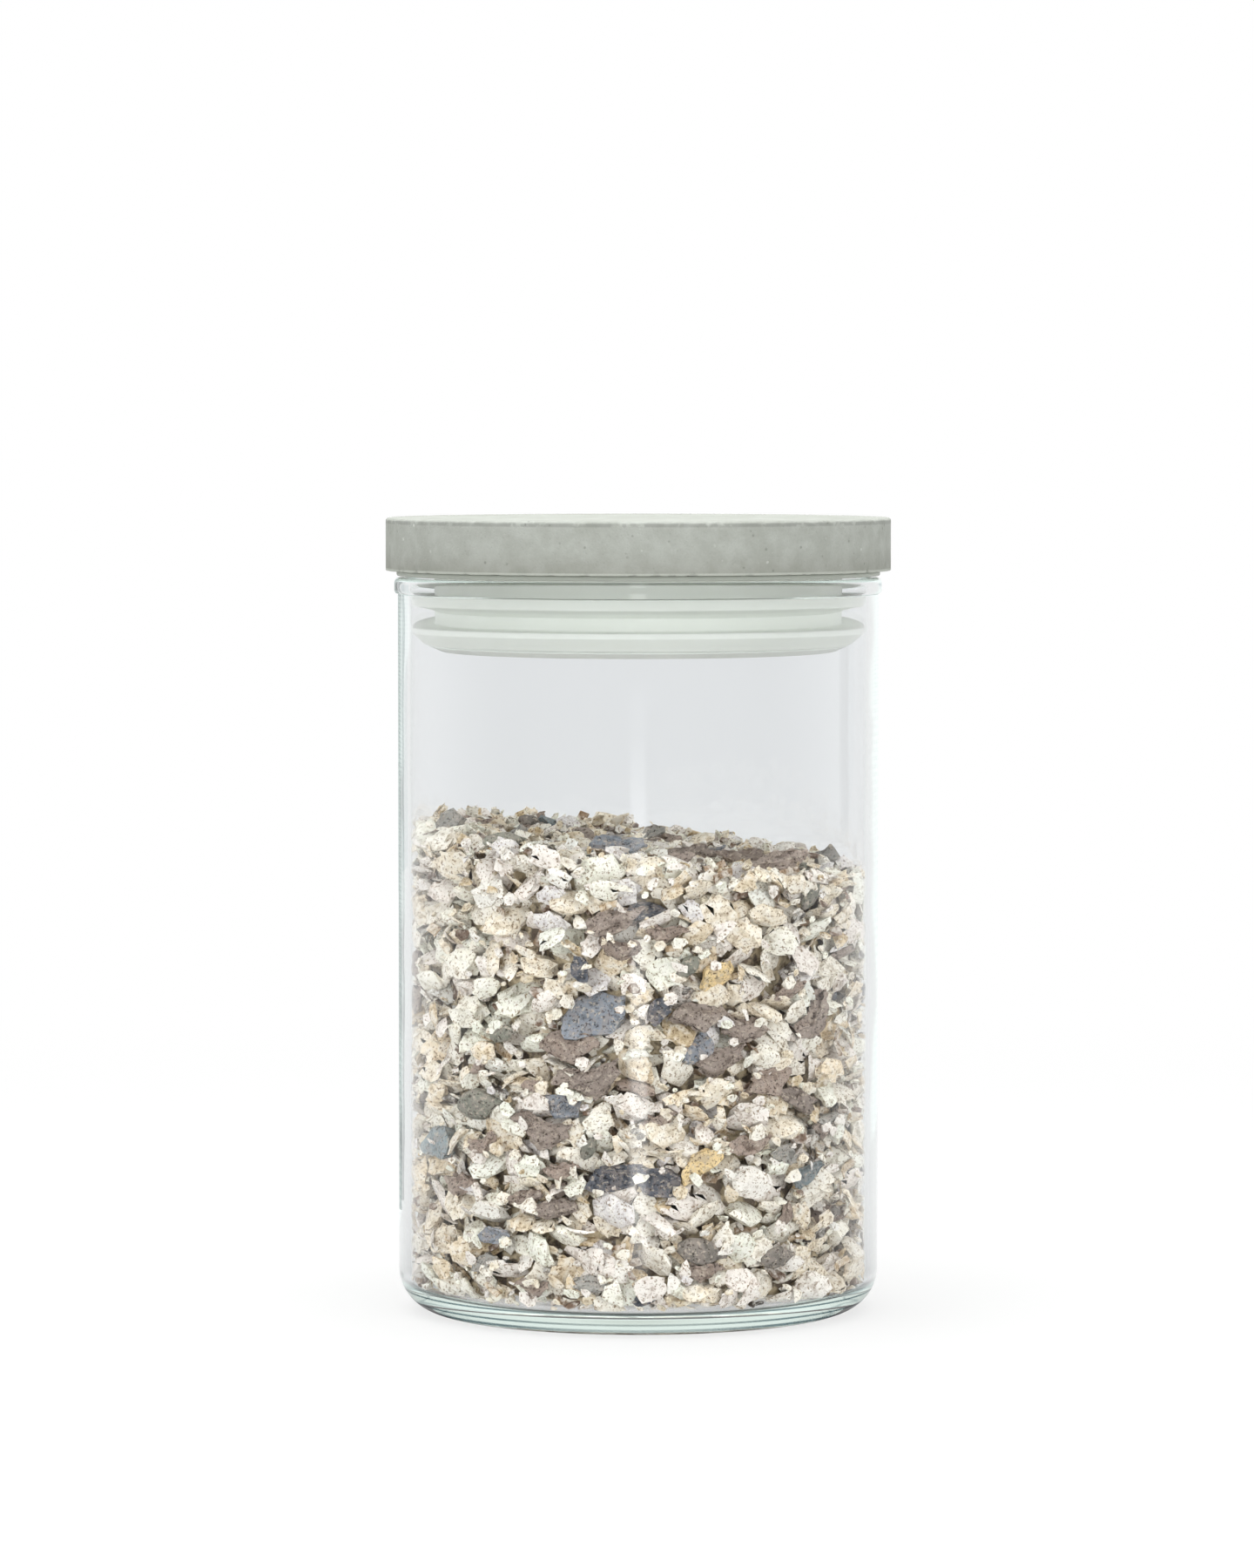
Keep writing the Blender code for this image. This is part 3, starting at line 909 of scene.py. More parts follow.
def plug_corners(glass, ring, lid, plug):
    """The plug: a spigot glued in the disc, a core in the ring's bore and a lip under the ring."""
    _, _, heel, _, bore = ring_radii(glass, ring)
    core = bore - PIECE_GAP
    lip = heel - plug.lip_setback
    foot = lip - plug.chamfer_run
    dish = foot - plug.foot_width
    spigot = lid.recess_diameter / 2 - PIECE_GAP
    spigot_top = cap_low.z + lid.recess_depth - PIECE_GAP
    shoulder = cap_low.z - PIECE_GAP
    lip_top = ring_low.z - SEAT_GAP
    lip_edge = lip_top - plug.lip_land
    foot_level = lip_edge - plug.chamfer_drop
    lip_round = (plug.lip_rounding, TINY_ARC_STEPS)
    return [
        (0.0, spigot_top),
        (spigot, spigot_top, plug.spigot_bevel, 1),
        (spigot, shoulder),
        (core, shoulder),
        (core, lip_top),
        (lip, lip_top, plug.lip_land / 3, TINY_ARC_STEPS),
        (lip, lip_edge, plug.lip_land / 3, TINY_ARC_STEPS),
        (foot, foot_level, *lip_round),
        (dish, foot_level, *lip_round),
        (dish - plug.dish_draft, foot_level + plug.dish_depth, *lip_round),
        (0.0, foot_level + plug.dish_depth),
    ]


class JAR_OT_plug(bpy.types.Operator):
    """Turns the moulded plug that the stone disc is glued to"""

    bl_idname = "jar.plug"
    bl_label = "Moulded plug"

    def execute(self, context):
        scene = context.scene
        corners = plug_corners(scene.jar_glass, scene.jar_ring, scene.jar_lid, scene.jar_plug)
        piece = draw_outline("plug_moulding", corners)
        spin_outline(TURNING_STEPS)
        finish_piece(piece, plastic_material(scene.jar_plug), "lid", "moulded_plastic", "lid_plug")
        return {"FINISHED"}


def from_lowest(ring):
    """The same ring of corners, from its lowest number on."""
    first = ring.index(min(ring))
    return ring[first:] + ring[:first]


MOST_SAMPLES = 900
SAMPLE_AREA = 0.1 * MM * MM


class Kind:
    """A piece of muesli that is modelled once: its mesh, points spread over its skin, and its shading.

    Blender may number a welded mesh in another way each time, so its corners and faces are put in an order
    that follows from the shape alone.
    """

    def __init__(self, piece, draw):
        places = [vertex.co.to_tuple(5) for vertex in piece.data.vertices]
        order = sorted(range(len(places)), key=places.__getitem__)
        rank = {number: position for position, number in enumerate(order)}
        faces = piece.data.polygons
        rings = sorted(from_lowest([rank[number] for number in face.vertices]) for face in faces)
        self.places = np.array([piece.data.vertices[number].co for number in order])
        self.corners = np.concatenate(rings).astype(np.int32)
        self.totals = np.array([len(ring) for ring in rings], np.int32)
        fans = [(ring[0], ring[step - 1], ring[step]) for ring in rings for step in range(2, len(ring))]
        corners = self.places[np.array(fans)]
        across = np.cross(corners[:, 1] - corners[:, 0], corners[:, 2] - corners[:, 0])
        areas = np.linalg.norm(across, axis=1) / 2
        wanted = int(min(MOST_SAMPLES, areas.sum() / SAMPLE_AREA)) + 1
        picked = draw.choice(len(areas), wanted, p=areas / areas.sum())
        first = draw.random(wanted)
        second = draw.random(wanted)
        over = first + second > 1
        first[over] = 1 - first[over]
        second[over] = 1 - second[over]
        chosen = corners[picked]
        spread = (
            chosen[:, 0]
            + (chosen[:, 1] - chosen[:, 0]) * first[:, None]
            + (chosen[:, 2] - chosen[:, 0]) * second[:, None]
        )
        self.samples = np.concatenate([self.places, spread])
        self.shade = self.shading()
        bpy.data.objects.remove(piece, do_unlink=True)

    def shading(self):
        """A piece is a little darker in its middle and lighter at its rim."""
        reach = np.linalg.norm(self.places[:, :2] / np.abs(self.places[:, :2]).max(0), axis=1)
        return 0.90 + 0.14 * np.clip(reach, 0, 1)


def start_kind(name):
    """The primitive that was just added is one kind of piece, in edit mode with all of it selected."""
    piece = bpy.context.object
    piece.name = name
    bpy.ops.object.mode_set(mode="EDIT")
    bpy.ops.mesh.select_all(action="SELECT")
    return piece


def end_kind(piece):
    """Back to object mode, with faces pointing out."""
    bpy.ops.mesh.select_all(action="SELECT")
    bpy.ops.mesh.normals_make_consistent(inside=False)
    bpy.ops.object.mode_set(mode="OBJECT")
    return piece


def model_flake(seed, crease, cup):
    """A rolled oat, one long: an oval rolled flat and cupped, with a crease along it and a ragged rim."""
    deselect_all()
    bpy.ops.mesh.primitive_uv_sphere_add(segments=14, ring_count=5, radius=0.5)
    piece = start_kind("flake")
    bpy.ops.transform.vertex_random(offset=0.2, uniform=0.0, normal=0.0, seed=seed)
    bpy.ops.transform.resize(value=(1.0, 0.80, 0.11), center_override=(0, 0, 0))
    select_vertices(lambda place: abs(place.y) < 0.09 and abs(place.x) < 0.42 and place.z > 0)
    bpy.ops.transform.translate(value=(0, 0, -crease * 0.2))
    select_vertices(lambda place: math.hypot(place.x, place.y / 0.78) > 0.4)
    bpy.ops.transform.translate(value=(0, 0, cup * 0.2))
    return piece


def whole_flake(seed, crease, cup):
    """A rolled oat that is still whole."""
    return end_kind(model_flake(seed, crease, cup))


def broken_flake(seed, cut_turn, cut_place):
    """A rolled oat that broke in two: cut across by a plane that stands on it."""
    piece = model_flake(seed, 0.18, 0.3)
    turn = math.radians(cut_turn)
    bpy.ops.mesh.select_all(action="SELECT")
    bpy.ops.mesh.bisect(
        plane_co=(cut_place, 0, 0),
        plane_no=(math.cos(turn), math.sin(turn), 0.35),
        use_fill=True,
        clear_outer=True,
    )
    bpy.ops.mesh.select_all(action="SELECT")
    bpy.ops.mesh.remove_doubles(threshold=0.004)
    return end_kind(piece)


def bran_curl(seed):
    """A thin curled strip of husk, one long."""
    deselect_all()
    bpy.ops.mesh.primitive_cube_add(size=1.0)
    piece = start_kind("bran")
    bpy.ops.transform.resize(value=(1.0, 0.34, 0.05), center_override=(0, 0, 0))
    bpy.ops.mesh.subdivide(number_cuts=1)
    bpy.ops.transform.vertex_random(offset=0.05, uniform=0.0, normal=0.0, seed=seed)
    select_vertices(lambda place: abs(place.x) < 0.2)
    bpy.ops.transform.translate(value=(0, 0, 0.14))
    return end_kind(piece)


def crumple(piece, fold, spacing, seed):
    """Draws folds into a skin: it sinks along the lines where a noise changes sign."""
    drift = Vector((seed * 7.3, seed * 3.1, 0.0))
    moves = []
    for vertex in piece.data.vertices:
        folded = 1 - 2.2 * abs(noise.noise(vertex.co / spacing + drift))
        broad = noise.noise(vertex.co / (spacing * 2.6) - drift)
        moves.append(vertex.normal * (broad * 1.4 - folded) * fold)
    for vertex, move in zip(piece.data.vertices, moves):
        vertex.co += move
    piece.data.update()


BEND_STEPS = (0.08, 0.16, 0.24, 0.32, 0.40)


def wrinkled(seed, width, thickness, bend, cuts):
    """Dried fruit, one long: a ball dented at random, pressed flat and bent, with folds in its skin."""
    deselect_all()
    bpy.ops.mesh.primitive_ico_sphere_add(subdivisions=2, radius=0.5)
    piece = start_kind("fruit")
    bpy.ops.transform.vertex_random(offset=0.24, uniform=0.0, normal=0.0, seed=seed)
    bpy.ops.mesh.subdivide(number_cuts=cuts, smoothness=0.8)
    bpy.ops.transform.resize(value=(1.0, width, thickness), center_override=(0, 0, 0))
    for reach in BEND_STEPS:
        select_vertices(lambda place: abs(place.x) > reach)
        bpy.ops.transform.translate(value=(0, bend / len(BEND_STEPS), 0))
    end_kind(piece)
    crumple(piece, 0.042, 0.2, seed)
    if cuts > 1:
        crumple(piece, 0.020, 0.085, seed + 9)
    return piece


def slice_of_fruit(seed, cuts):
    """A flat chip of dried fruit, one long, with torn corners and a crumpled face."""
    deselect_all()
    bpy.ops.mesh.primitive_cylinder_add(vertices=7, radius=0.5, depth=0.22, end_fill_type="TRIFAN")
    piece = start_kind("slice")
    bpy.ops.transform.vertex_random(offset=0.28, uniform=0.0, normal=0.0, seed=seed)
    bpy.ops.transform.resize(value=(1.0, 0.58, 0.7), center_override=(0, 0, 0))
    bpy.ops.mesh.subdivide(number_cuts=cuts, smoothness=0.35)
    end_kind(piece)
    crumple(piece, 0.035, 0.2, seed)
    if cuts > 1:
        crumple(piece, 0.022, 0.09, seed + 9)
    return piece


def cluster(seed):
    """A lump of oats and flour baked together, one long."""
    deselect_all()
    bpy.ops.mesh.primitive_ico_sphere_add(subdivisions=2, radius=0.5)
    piece = start_kind("cluster")
    bpy.ops.transform.vertex_random(offset=0.26, uniform=0.0, normal=0.0, seed=seed)
    bpy.ops.transform.resize(value=(1.0, 0.70, 0.40), center_override=(0, 0, 0))
    return end_kind(piece)


def seed_kernel(seed):
    """A seed, one long: rounded at one end, drawn to a point at the other."""
    deselect_all()
    bpy.ops.mesh.primitive_ico_sphere_add(subdivisions=2, radius=0.5)
    piece = start_kind("seed")
    bpy.ops.transform.resize(value=(1.0, 0.52, 0.26), center_override=(0, 0, 0))
    select_vertices(lambda place: place.x > 0.28)
    bpy.ops.transform.resize(value=(1.1, 0.45, 0.6), center_override=(0.3, 0, 0))
    bpy.ops.transform.vertex_random(offset=0.01, uniform=0.0, normal=0.0, seed=seed)
    return end_kind(piece)


def crumb(seed):
    """A shard of broken flake with sharp corners, one long."""
    deselect_all()
    bpy.ops.mesh.primitive_cylinder_add(vertices=6, radius=0.5, depth=0.2, end_fill_type="TRIFAN")
    piece = start_kind("crumb")
    bpy.ops.transform.vertex_random(offset=0.24, uniform=0.0, normal=0.0, seed=seed)
    bpy.ops.transform.resize(value=(1.0, 0.70, 0.75), center_override=(0, 0, 0))
    return end_kind(piece)


def model_kinds(draw):
    """Every kind of piece, in a few shapes each."""
    shapes = {
        "whole": [whole_flake(seed, 0.16 + 0.05 * seed, 0.15 * seed) for seed in range(4)],
        "broken": [broken_flake(seed + 4, 25 * seed - 50, 0.12 - 0.06 * seed) for seed in range(6)],
        "bran": [bran_curl(seed) for seed in range(2)],
        "cluster": [cluster(seed) for seed in range(5)],
        "raisin": [wrinkled(seed, 0.52, 0.30, 0.05 * seed, 1) for seed in range(5)],
        "slice": [slice_of_fruit(seed, 1) for seed in range(5)],
        "fine_raisin": [wrinkled(seed + 5, 0.44, 0.27, 0.045 * seed, 3) for seed in range(6)],
        "fine_slice": [slice_of_fruit(seed + 5, 3) for seed in range(6)],
        "kernel": [seed_kernel(seed) for seed in range(2)],
        "crumb": [crumb(seed) for seed in range(5)],
    }
    return {name: [Kind(piece, draw) for piece in pieces] for name, pieces in shapes.items()}


BED_CELL = 0.5 * MM
CLEAR_SHARE = 0.88


class Bed:
    """How deep pieces already lie over a sheet, cell by cell. A piece is pushed on until it touches."""

    def __init__(self, across, up, start):
        self.across = across
        self.up = up
        self.start = np.full(across * up, start)
        self.depth = self.start.copy()

    def cells(self, places):
        """The cell under each place, and the depth at which the place lies."""
        raise NotImplementedError

    def push(self, places, inward):
        """How far places move inward until they clear what lies there. Soft pieces give way a little."""
        reach = 0.0
        for _ in range(2):
            cells, depth = self.cells(places + inward * reach)
            clear = np.quantile(self.depth[cells] - depth, CLEAR_SHARE)
            reach += max(clear, (self.start[cells] - depth).max())
        return reach

    def settle(self, places):
        """Adds places to what lies there."""
        cells, depth = self.cells(places)
        np.maximum.at(self.depth, cells, depth)


class WallBed(Bed):
    """The inside of the straight wall: cells run round it and up it, and depth runs to the axis."""

    def __init__(self, radius, corner, floor, top):
        self.radius = radius
        across = int(2 * math.pi * radius / BED_CELL)
        up = int(top / BED_CELL) + 1
        heights = (np.arange(up) + 0.5) * BED_CELL
        below = np.clip(floor + corner - heights, 0, corner)
        super().__init__(across, up, np.tile(corner - np.sqrt(corner**2 - below**2), across))

    def cells(self, places):
        turn = np.arctan2(places[:, 1], places[:, 0]) / (2 * math.pi)
        column = (turn * self.across).astype(int) % self.across
        row = np.clip((places[:, 2] / BED_CELL).astype(int), 0, self.up - 1)
        return column * self.up + row, self.radius - np.hypot(places[:, 0], places[:, 1])


class FlatBed(Bed):
    """A level sheet: cells run along X and Y, and depth runs up."""

    def __init__(self, radius, start):
        self.half = radius
        side = int(2 * radius / BED_CELL) + 1
        super().__init__(side, side, start)

    def cells(self, places):
        column = np.clip(((places[:, 0] + self.half) / BED_CELL).astype(int), 0, self.across - 1)
        row = np.clip(((places[:, 1] + self.half) / BED_CELL).astype(int), 0, self.up - 1)
        return column * self.up + row, places[:, 2]


# How far a piece sinks into what it comes to lie on, at the wall and on a level bed
WALL_PRESS = 0.12 * MM
BED_PRESS = 0.15 * MM

WALL_CLEARANCE = 0.2 * MM
FLOOR_CLEARANCE = 0.25 * MM
TOP_ROOM = 4.0 * MM
OVER_SURFACE = 2.0 * MM
LUMP_SPACING = 15.0 * MM
CROSS_SPACING = 11.5 * MM

# Tints of the pieces, as read in daylight, with how often each is drawn
OAT_TINTS = (
    (0.34, linear(246, 239, 225)),
    (0.28, linear(243, 234, 226)),
    (0.20, linear(239, 227, 206)),
    (0.10, linear(231, 214, 186)),
    (0.04, linear(218, 197, 162)),
    (0.04, linear(228, 223, 222)),
)
HUSK_TINTS = (
    (0.40, linear(196, 174, 144)),
    (0.35, linear(160, 136, 112)),
    (0.25, linear(122, 102, 88)),
)
CRUMB_TINTS = (
    (0.36, linear(246, 238, 222)),
    (0.24, linear(238, 231, 224)),
    (0.16, linear(228, 214, 188)),
    (0.09, linear(202, 182, 148)),
    (0.09, linear(136, 114, 98)),
    (0.06, linear(88, 80, 74)),
)
FRUIT_TINTS = {
    "raisin": linear(160, 146, 136),
    "brown": linear(164, 147, 135),
    "grey": linear(162, 160, 154),
    "bluegrey": linear(150, 156, 165),
    "black": linear(94, 97, 105),
    "teal": linear(142, 153, 156),
    "green": linear(142, 142, 130),
    "amber": linear(232, 206, 156),
    "seed": linear(126, 120, 113),
}
FRUIT_SHARES = (
    ("raisin", 0.30),
    ("brown", 0.26),
    ("grey", 0.12),
    ("bluegrey", 0.10),
    ("black", 0.07),
    ("green", 0.06),
    ("amber", 0.05),
    ("teal", 0.04),
)
FRUIT_SHAPES = {
    "raisin": "raisin",
    "brown": "raisin",
    "grey": "slice",
    "bluegrey": "slice",
    "black": "slice",
    "teal": "slice",
    "green": "kernel",
    "amber": "slice",
    "seed": "kernel",
}

# The pieces that stand out at the front of the glass: tint, place across, height and length, all three in
# millimetres, and slope in degrees
FRONT_PIECES = (
    ("raisin", -5, 85, 11, 20),
    ("brown", -4, 79, 9, -10),
    ("black", -12, 75, 6, 80),
    ("bluegrey", -10, 65.5, 15, 0),
    ("green", -27.5, 61.5, 7, 15),
    ("brown", -15, 59, 13, -5),
    ("brown", -33, 54, 5, 30),
    ("brown", -22, 51, 5, 0),
    ("raisin", -9, 51.5, 13, 15),
    ("green", -33, 46.5, 13, 10),
    ("bluegrey", -15, 47, 8, 0),
    ("teal", -41.5, 37.5, 11, -20),
    ("raisin", -19.5, 40.5, 12, -10),
    ("brown", -32, 38, 8, 20),
    ("green", -10, 39, 6, 60),
    ("brown", -16, 33.5, 7, 10),
    ("black", -4.5, 33, 11, 10),
    ("brown", -37, 29, 9, 0),
    ("brown", -23.5, 28, 8, 10),
    ("raisin", -17.5, 26, 10, 5),
    ("bluegrey", -29.5, 20, 7, 0),
    ("grey", -32, 14, 7, 20),
    ("brown", -21.5, 9, 7, 0),
    ("grey", -10, 11, 7, 0),
    ("green", 35.5, 89, 7, 50),
    ("brown", 5.5, 82, 8, 0),
    ("green", 10.5, 76, 7, 40),
    ("amber", 16, 73.5, 9, 30),
    ("brown", 31, 70, 7, 20),
    ("black", 4, 67, 7, 30),
    ("raisin", 12, 65, 12, -10),
    ("raisin", 21, 62.5, 12, -20),
    ("raisin", 37, 63.5, 13, 45),
    ("bluegrey", 12, 59, 9, 30),
    ("raisin", 16, 55.5, 13, 0),
    ("brown", 27, 51, 12, 10),
    ("brown", 4.5, 44, 7, 20),
    ("brown", 38, 40, 6, 0),
    ("brown", 23, 39, 9, 10),
    ("grey", 30, 36.5, 7, -15),
    ("teal", 35, 32, 8, 20),
    ("amber", 13, 35.5, 9, 40),
    ("black", 4.5, 32, 10, -10),
    ("brown", 30.5, 24, 6, 60),
    ("seed", 40, 23.5, 5, 20),
    ("seed", 13, 17.5, 11, -12),
    ("seed", 28.5, 15.5, 9, 5),
    ("brown", 13, 13, 8, 0),
)


class Pour:
    """Pours the muesli: keeps the beds, draws places and turns, and collects copies for each mesh."""

    def __init__(self, glass, sizes):
        self.sizes = sizes
        self.draw = np.random.default_rng(sizes.seed)
        self.kinds = model_kinds(self.draw)
        self.radius = glass.diameter / 2 - glass.wall - WALL_CLEARANCE
        self.floor = glass.base + FLOOR_CLEARANCE
        self.wall = WallBed(self.radius, glass.inner_corner, self.floor, fill_high.z + TOP_ROOM)
        self.top = FlatBed(self.radius, 0.0)
        self.ground = FlatBed(self.radius, self.floor)
        self.copies = {}
        cells = np.arange(self.top.across * self.top.up)
        self.top_x = (cells // self.top.up + 0.5) * BED_CELL - self.radius
        self.top_y = (cells % self.top.up + 0.5) * BED_CELL - self.radius
        self.goal = self.surface(self.top_x, self.top_y)
        self.top.depth = self.goal - sizes.bed_depth
        self.top.start = self.top.depth.copy()

    def surface(self, x, y):
        """The height of the heap: a steady slope down to +X, with lumps where pieces pile."""
        sizes = self.sizes
        slope = -sizes.drop_across * x / (2 * self.radius)
        turn = 2 * math.pi / LUMP_SPACING
        cross_turn = 2 * math.pi / CROSS_SPACING
        slanting = np.sin(turn * (x + y)) * np.cos(turn * (x - y) / 2)
        square = np.sin(cross_turn * x) * np.sin(turn * y)
        return sizes.level + slope + sizes.lump_height * (slanting + square) / 2

    def shape(self, kind):
        """One of the shapes of a kind, drawn at random."""
        return self.kinds[kind][self.draw.integers(len(self.kinds[kind]))]

    def keep(self, group, shape, matrix, shift, tint):
        """Remembers a copy for the mesh of its group."""
        self.copies.setdefault(group, []).append((shape, matrix, shift, tint))

    def tilt(self, facing):
        """A turn for a piece on a sheet. The share facing lies nearly flat, and the rest stands tilted."""
        spin = self.draw.normal(0, 0.55) + math.pi * self.draw.integers(2)
        if self.draw.random() < facing:
            lean = self.draw.uniform(0, 0.55)
            way = self.draw.uniform(0, 2 * math.pi)
        else:
            lean = self.draw.uniform(0.55, 1.2)
            way = self.draw.normal(0, 0.5) + math.pi * self.draw.integers(2)
        hinge = Vector((math.cos(way), math.sin(way), 0))
        return Matrix.Rotation(lean, 3, hinge) @ Matrix.Rotation(spin, 3, "Z")

    def wall_axes(self, turn):
        """Axes at the wall: along it and in from it."""
        along = Vector((-math.sin(turn), math.cos(turn), 0))
        inward = Vector((-math.cos(turn), -math.sin(turn), 0))
        return along, inward

    def at_wall(self, group, shape, size, tint, turn, height, lean, deepest):
        """Pushes a piece against the glass, or against what lies there, and keeps it if it fits."""
        along, inward = self.wall_axes(turn)
        frame_axes = Matrix((along, Vector((0, 0, 1)), inward)).transposed()
        matrix = np.array(frame_axes @ lean) * size
        start = np.array([math.cos(turn) * self.radius, math.sin(turn) * self.radius, height])
        places = shape.samples @ matrix.T + start
        inward = np.array(inward)
        reach = self.wall.push(places, inward)
        if reach > deepest:
            return False
        shift = start + inward * (reach - WALL_PRESS)
        places = shape.samples @ matrix.T + shift
        over = places[:, 2] - self.surface(places[:, 0], places[:, 1])
        if places[:, 2].min() < self.floor or over.max() > OVER_SURFACE:
            return False
        if np.hypot(places[:, 0], places[:, 1]).max() > self.radius + WALL_PRESS:
            shift = shift + inward * WALL_PRESS
            places = places + inward * WALL_PRESS
        self.wall.settle(places)
        self.top.settle(places)
        self.keep(group, shape, matrix, shift, tint)
        return True

    def emptiest_wall(self, tries):
        """The least filled of a few places drawn on the wall, as its turn and height."""
        turns = self.draw.uniform(0, 2 * math.pi, tries)
        lowest = self.floor + 0.5 * MM
        x = self.radius * np.cos(turns)
        y = self.radius * np.sin(turns)
        heights = lowest + self.draw.random(tries) * (self.surface(x, y) - lowest)
        spots = np.stack([x, y, heights], 1)
        cells, _ = self.wall.cells(spots)
        chosen = int(np.argmin(self.wall.depth[cells]))
        return float(turns[chosen]), float(heights[chosen])

    def on_flat(self, bed, group, shape, size, tint, x, y, lean, press=BED_PRESS, ceiling=None):
        """Lets a piece down on a level bed and keeps it if it fits."""
        matrix = np.array(lean) * size
        start = np.array([x, y, 0.0])
        places = shape.samples @ matrix.T + start
        if np.hypot(places[:, 0], places[:, 1]).max() > self.radius:
            return False
        reach = bed.push(places, np.array([0, 0, 1.0]))
        shift = start + np.array([0, 0, reach - press])
        places = shape.samples @ matrix.T + shift
        if ceiling is not None and (places[:, 2] - self.surface(places[:, 0], places[:, 1])).max() > ceiling:
            return False
        bed.settle(places)
        self.keep(group, shape, matrix, shift, tint)
        return True

    def lowest_top(self, tries):
        """The spot that lies furthest below the heap's surface, of a few drawn."""
        out = self.radius * 0.985 * np.sqrt(self.draw.random(tries))
        turn = self.draw.uniform(0, 2 * math.pi, tries)
        x = out * np.cos(turn)
        y = out * np.sin(turn)
        cells, _ = self.top.cells(np.stack([x, y, x], 1))
        chosen = int(np.argmax(self.goal[cells] - self.top.depth[cells]))
        return float(x[chosen]), float(y[chosen])


PALEST = 0.90


def drawn_tint(draw, tints, spread):
    """A tint out of a list of (how often, colour), made a little lighter or darker."""
    odds = np.array([odd for odd, _ in tints])
    chosen = tints[draw.choice(len(tints), p=odds / odds.sum())][1]
    return np.clip(np.array(chosen) * draw.normal(1.0, spread), 0.0, PALEST)


def fruit_tint(draw, name):
    """The tint of a fruit or seed, a little lighter or darker for each piece."""
    return np.array(FRUIT_TINTS[name]) * np.clip(draw.normal(1.0, 0.14), 0.7, 1.1)


def slope_turn(slope, draw):
    """Faces out, with its long side at a slope in degrees, and leans a little."""
    lean = Matrix.Rotation(draw.uniform(-0.4, 0.4), 3, "X")
    return lean @ Matrix.Rotation(math.radians(slope), 3, "Z")


def front_turn(pour, across):
    """The turn about the axis of the place at the front of the glass that lies so far across."""
    return math.atan2(-math.sqrt(pour.radius**2 - across**2), across)


EDGE_COVERS = 3
COVER_DEEPEST = 1.2 * MM


def cover_edges(pour, across, height, long_side, slope):
    """Sets shards of flake against the glass over the edge of a fruit that comes next."""
    for _ in range(EDGE_COVERS):
        place = pour.draw.uniform(0, 2 * math.pi)
        along = 0.50 * long_side * math.cos(place)
        up = 0.24 * long_side * math.sin(place)
        tilt = math.radians(slope)
        x = across + along * math.cos(tilt) - up * math.sin(tilt)
        z = height + along * math.sin(tilt) + up * math.cos(tilt)
        shape = pour.shape("broken" if pour.draw.random() < 0.4 else "crumb")
        size = pour.draw.uniform(1.6, 4.2) * MM
        tint = drawn_tint(pour.draw, OAT_TINTS, 0.04)
        turn = front_turn(pour, x)
        group = f"oats_{sector(turn)}"
        pour.at_wall(group, shape, size, tint, turn, z, pour.tilt(1.0), COVER_DEEPEST)


FRONT_DEEPEST = 4.4 * MM
FINE_SHAPES = {"raisin": "fine_raisin", "slice": "fine_slice", "kernel": "kernel"}


def pour_front(pour):
    """Sets the pieces that stand out against the front of the glass."""
    for name, across, height, long_side, slope in FRONT_PIECES:
        across = across * MM
        cover_edges(pour, across, height * MM, long_side * MM, slope)
        shape = pour.shape(FINE_SHAPES[FRUIT_SHAPES[name]])
        lean = slope_turn(slope, pour.draw)
        tint = fruit_tint(pour.draw, name)
        turn = front_turn(pour, across)
        for size in (long_side, 0.85 * long_side, 0.7 * long_side, 0.55 * long_side):
            if pour.at_wall("fruit", shape, size * MM, tint, turn, height * MM, lean, FRONT_DEEPEST):
                break


def wall_order(draw, sizes):
    """The order in which pieces reach the wall: each kind by its count, well mixed."""
    order = ["fruit"] * sizes.wall_fruit + ["flake"] * sizes.wall_flakes
    order += ["crumb"] * (sizes.wall_crumbs // 2)
    return list(draw.permutation(order)) + ["crumb"] * (sizes.wall_crumbs // 2)


def flake_size(draw, kind, sizes):
    """The length of a flake or husk."""
    if kind == "bran":
        return sizes.flake_length * draw.uniform(0.4, 0.8)
    if kind == "broken":
        return sizes.flake_length * draw.uniform(0.45, 1.05)
    if kind == "cluster":
        return sizes.flake_length * draw.uniform(0.60, 1.30)
    return sizes.flake_length * draw.uniform(0.65, 1.1)


def drawn_flake(pour, odds):
    """A flake of some kind: its shape, length and tint."""
    kind = pour.draw.choice(["whole", "broken", "bran", "cluster"], p=odds)
    tints = HUSK_TINTS if kind == "bran" else OAT_TINTS
    return pour.shape(kind), flake_size(pour.draw, kind, pour.sizes), drawn_tint(pour.draw, tints, 0.04)


# How often each kind of flake is drawn at the glass and on the heap: whole, broken, bran and cluster
WALL_ODDS = (0.22, 0.40, 0.06, 0.32)
TOP_ODDS = (0.20, 0.34, 0.06, 0.40)

# How many spots are drawn for a piece at the glass, which takes the emptiest, and on the heap, the lowest
WALL_TRIES = 7
TOP_TRIES = 10


def drawn_fruit(pour):
    """A fruit or seed of some kind: its shape, length and tint."""
    names = [name for name, _ in FRUIT_SHARES]
    odds = np.array([odd for _, odd in FRUIT_SHARES])
    name = str(pour.draw.choice(names, p=odds / odds.sum()))
    size = pour.sizes.raisin_length * pour.draw.uniform(0.55, 1.05)
    return pour.shape(FRUIT_SHAPES[name]), size, fruit_tint(pour.draw, name)


def drawn_crumb(pour):
    """A crumb: its shape, length and tint."""
    size = pour.sizes.crumb_length * pour.draw.uniform(0.5, 1.5)
    return pour.shape("crumb"), size, drawn_tint(pour.draw, CRUMB_TINTS, 0.06)


def sector(turn):
    """Which quarter of the jar a turn lies in, so that no mesh gets too large."""
    return int((turn % (2 * math.pi)) / (math.pi / 2)) % 4 + 1


# How much less fruit is drawn for the front, where the pieces of the list above already stand
FRONT_LESS = 0.5


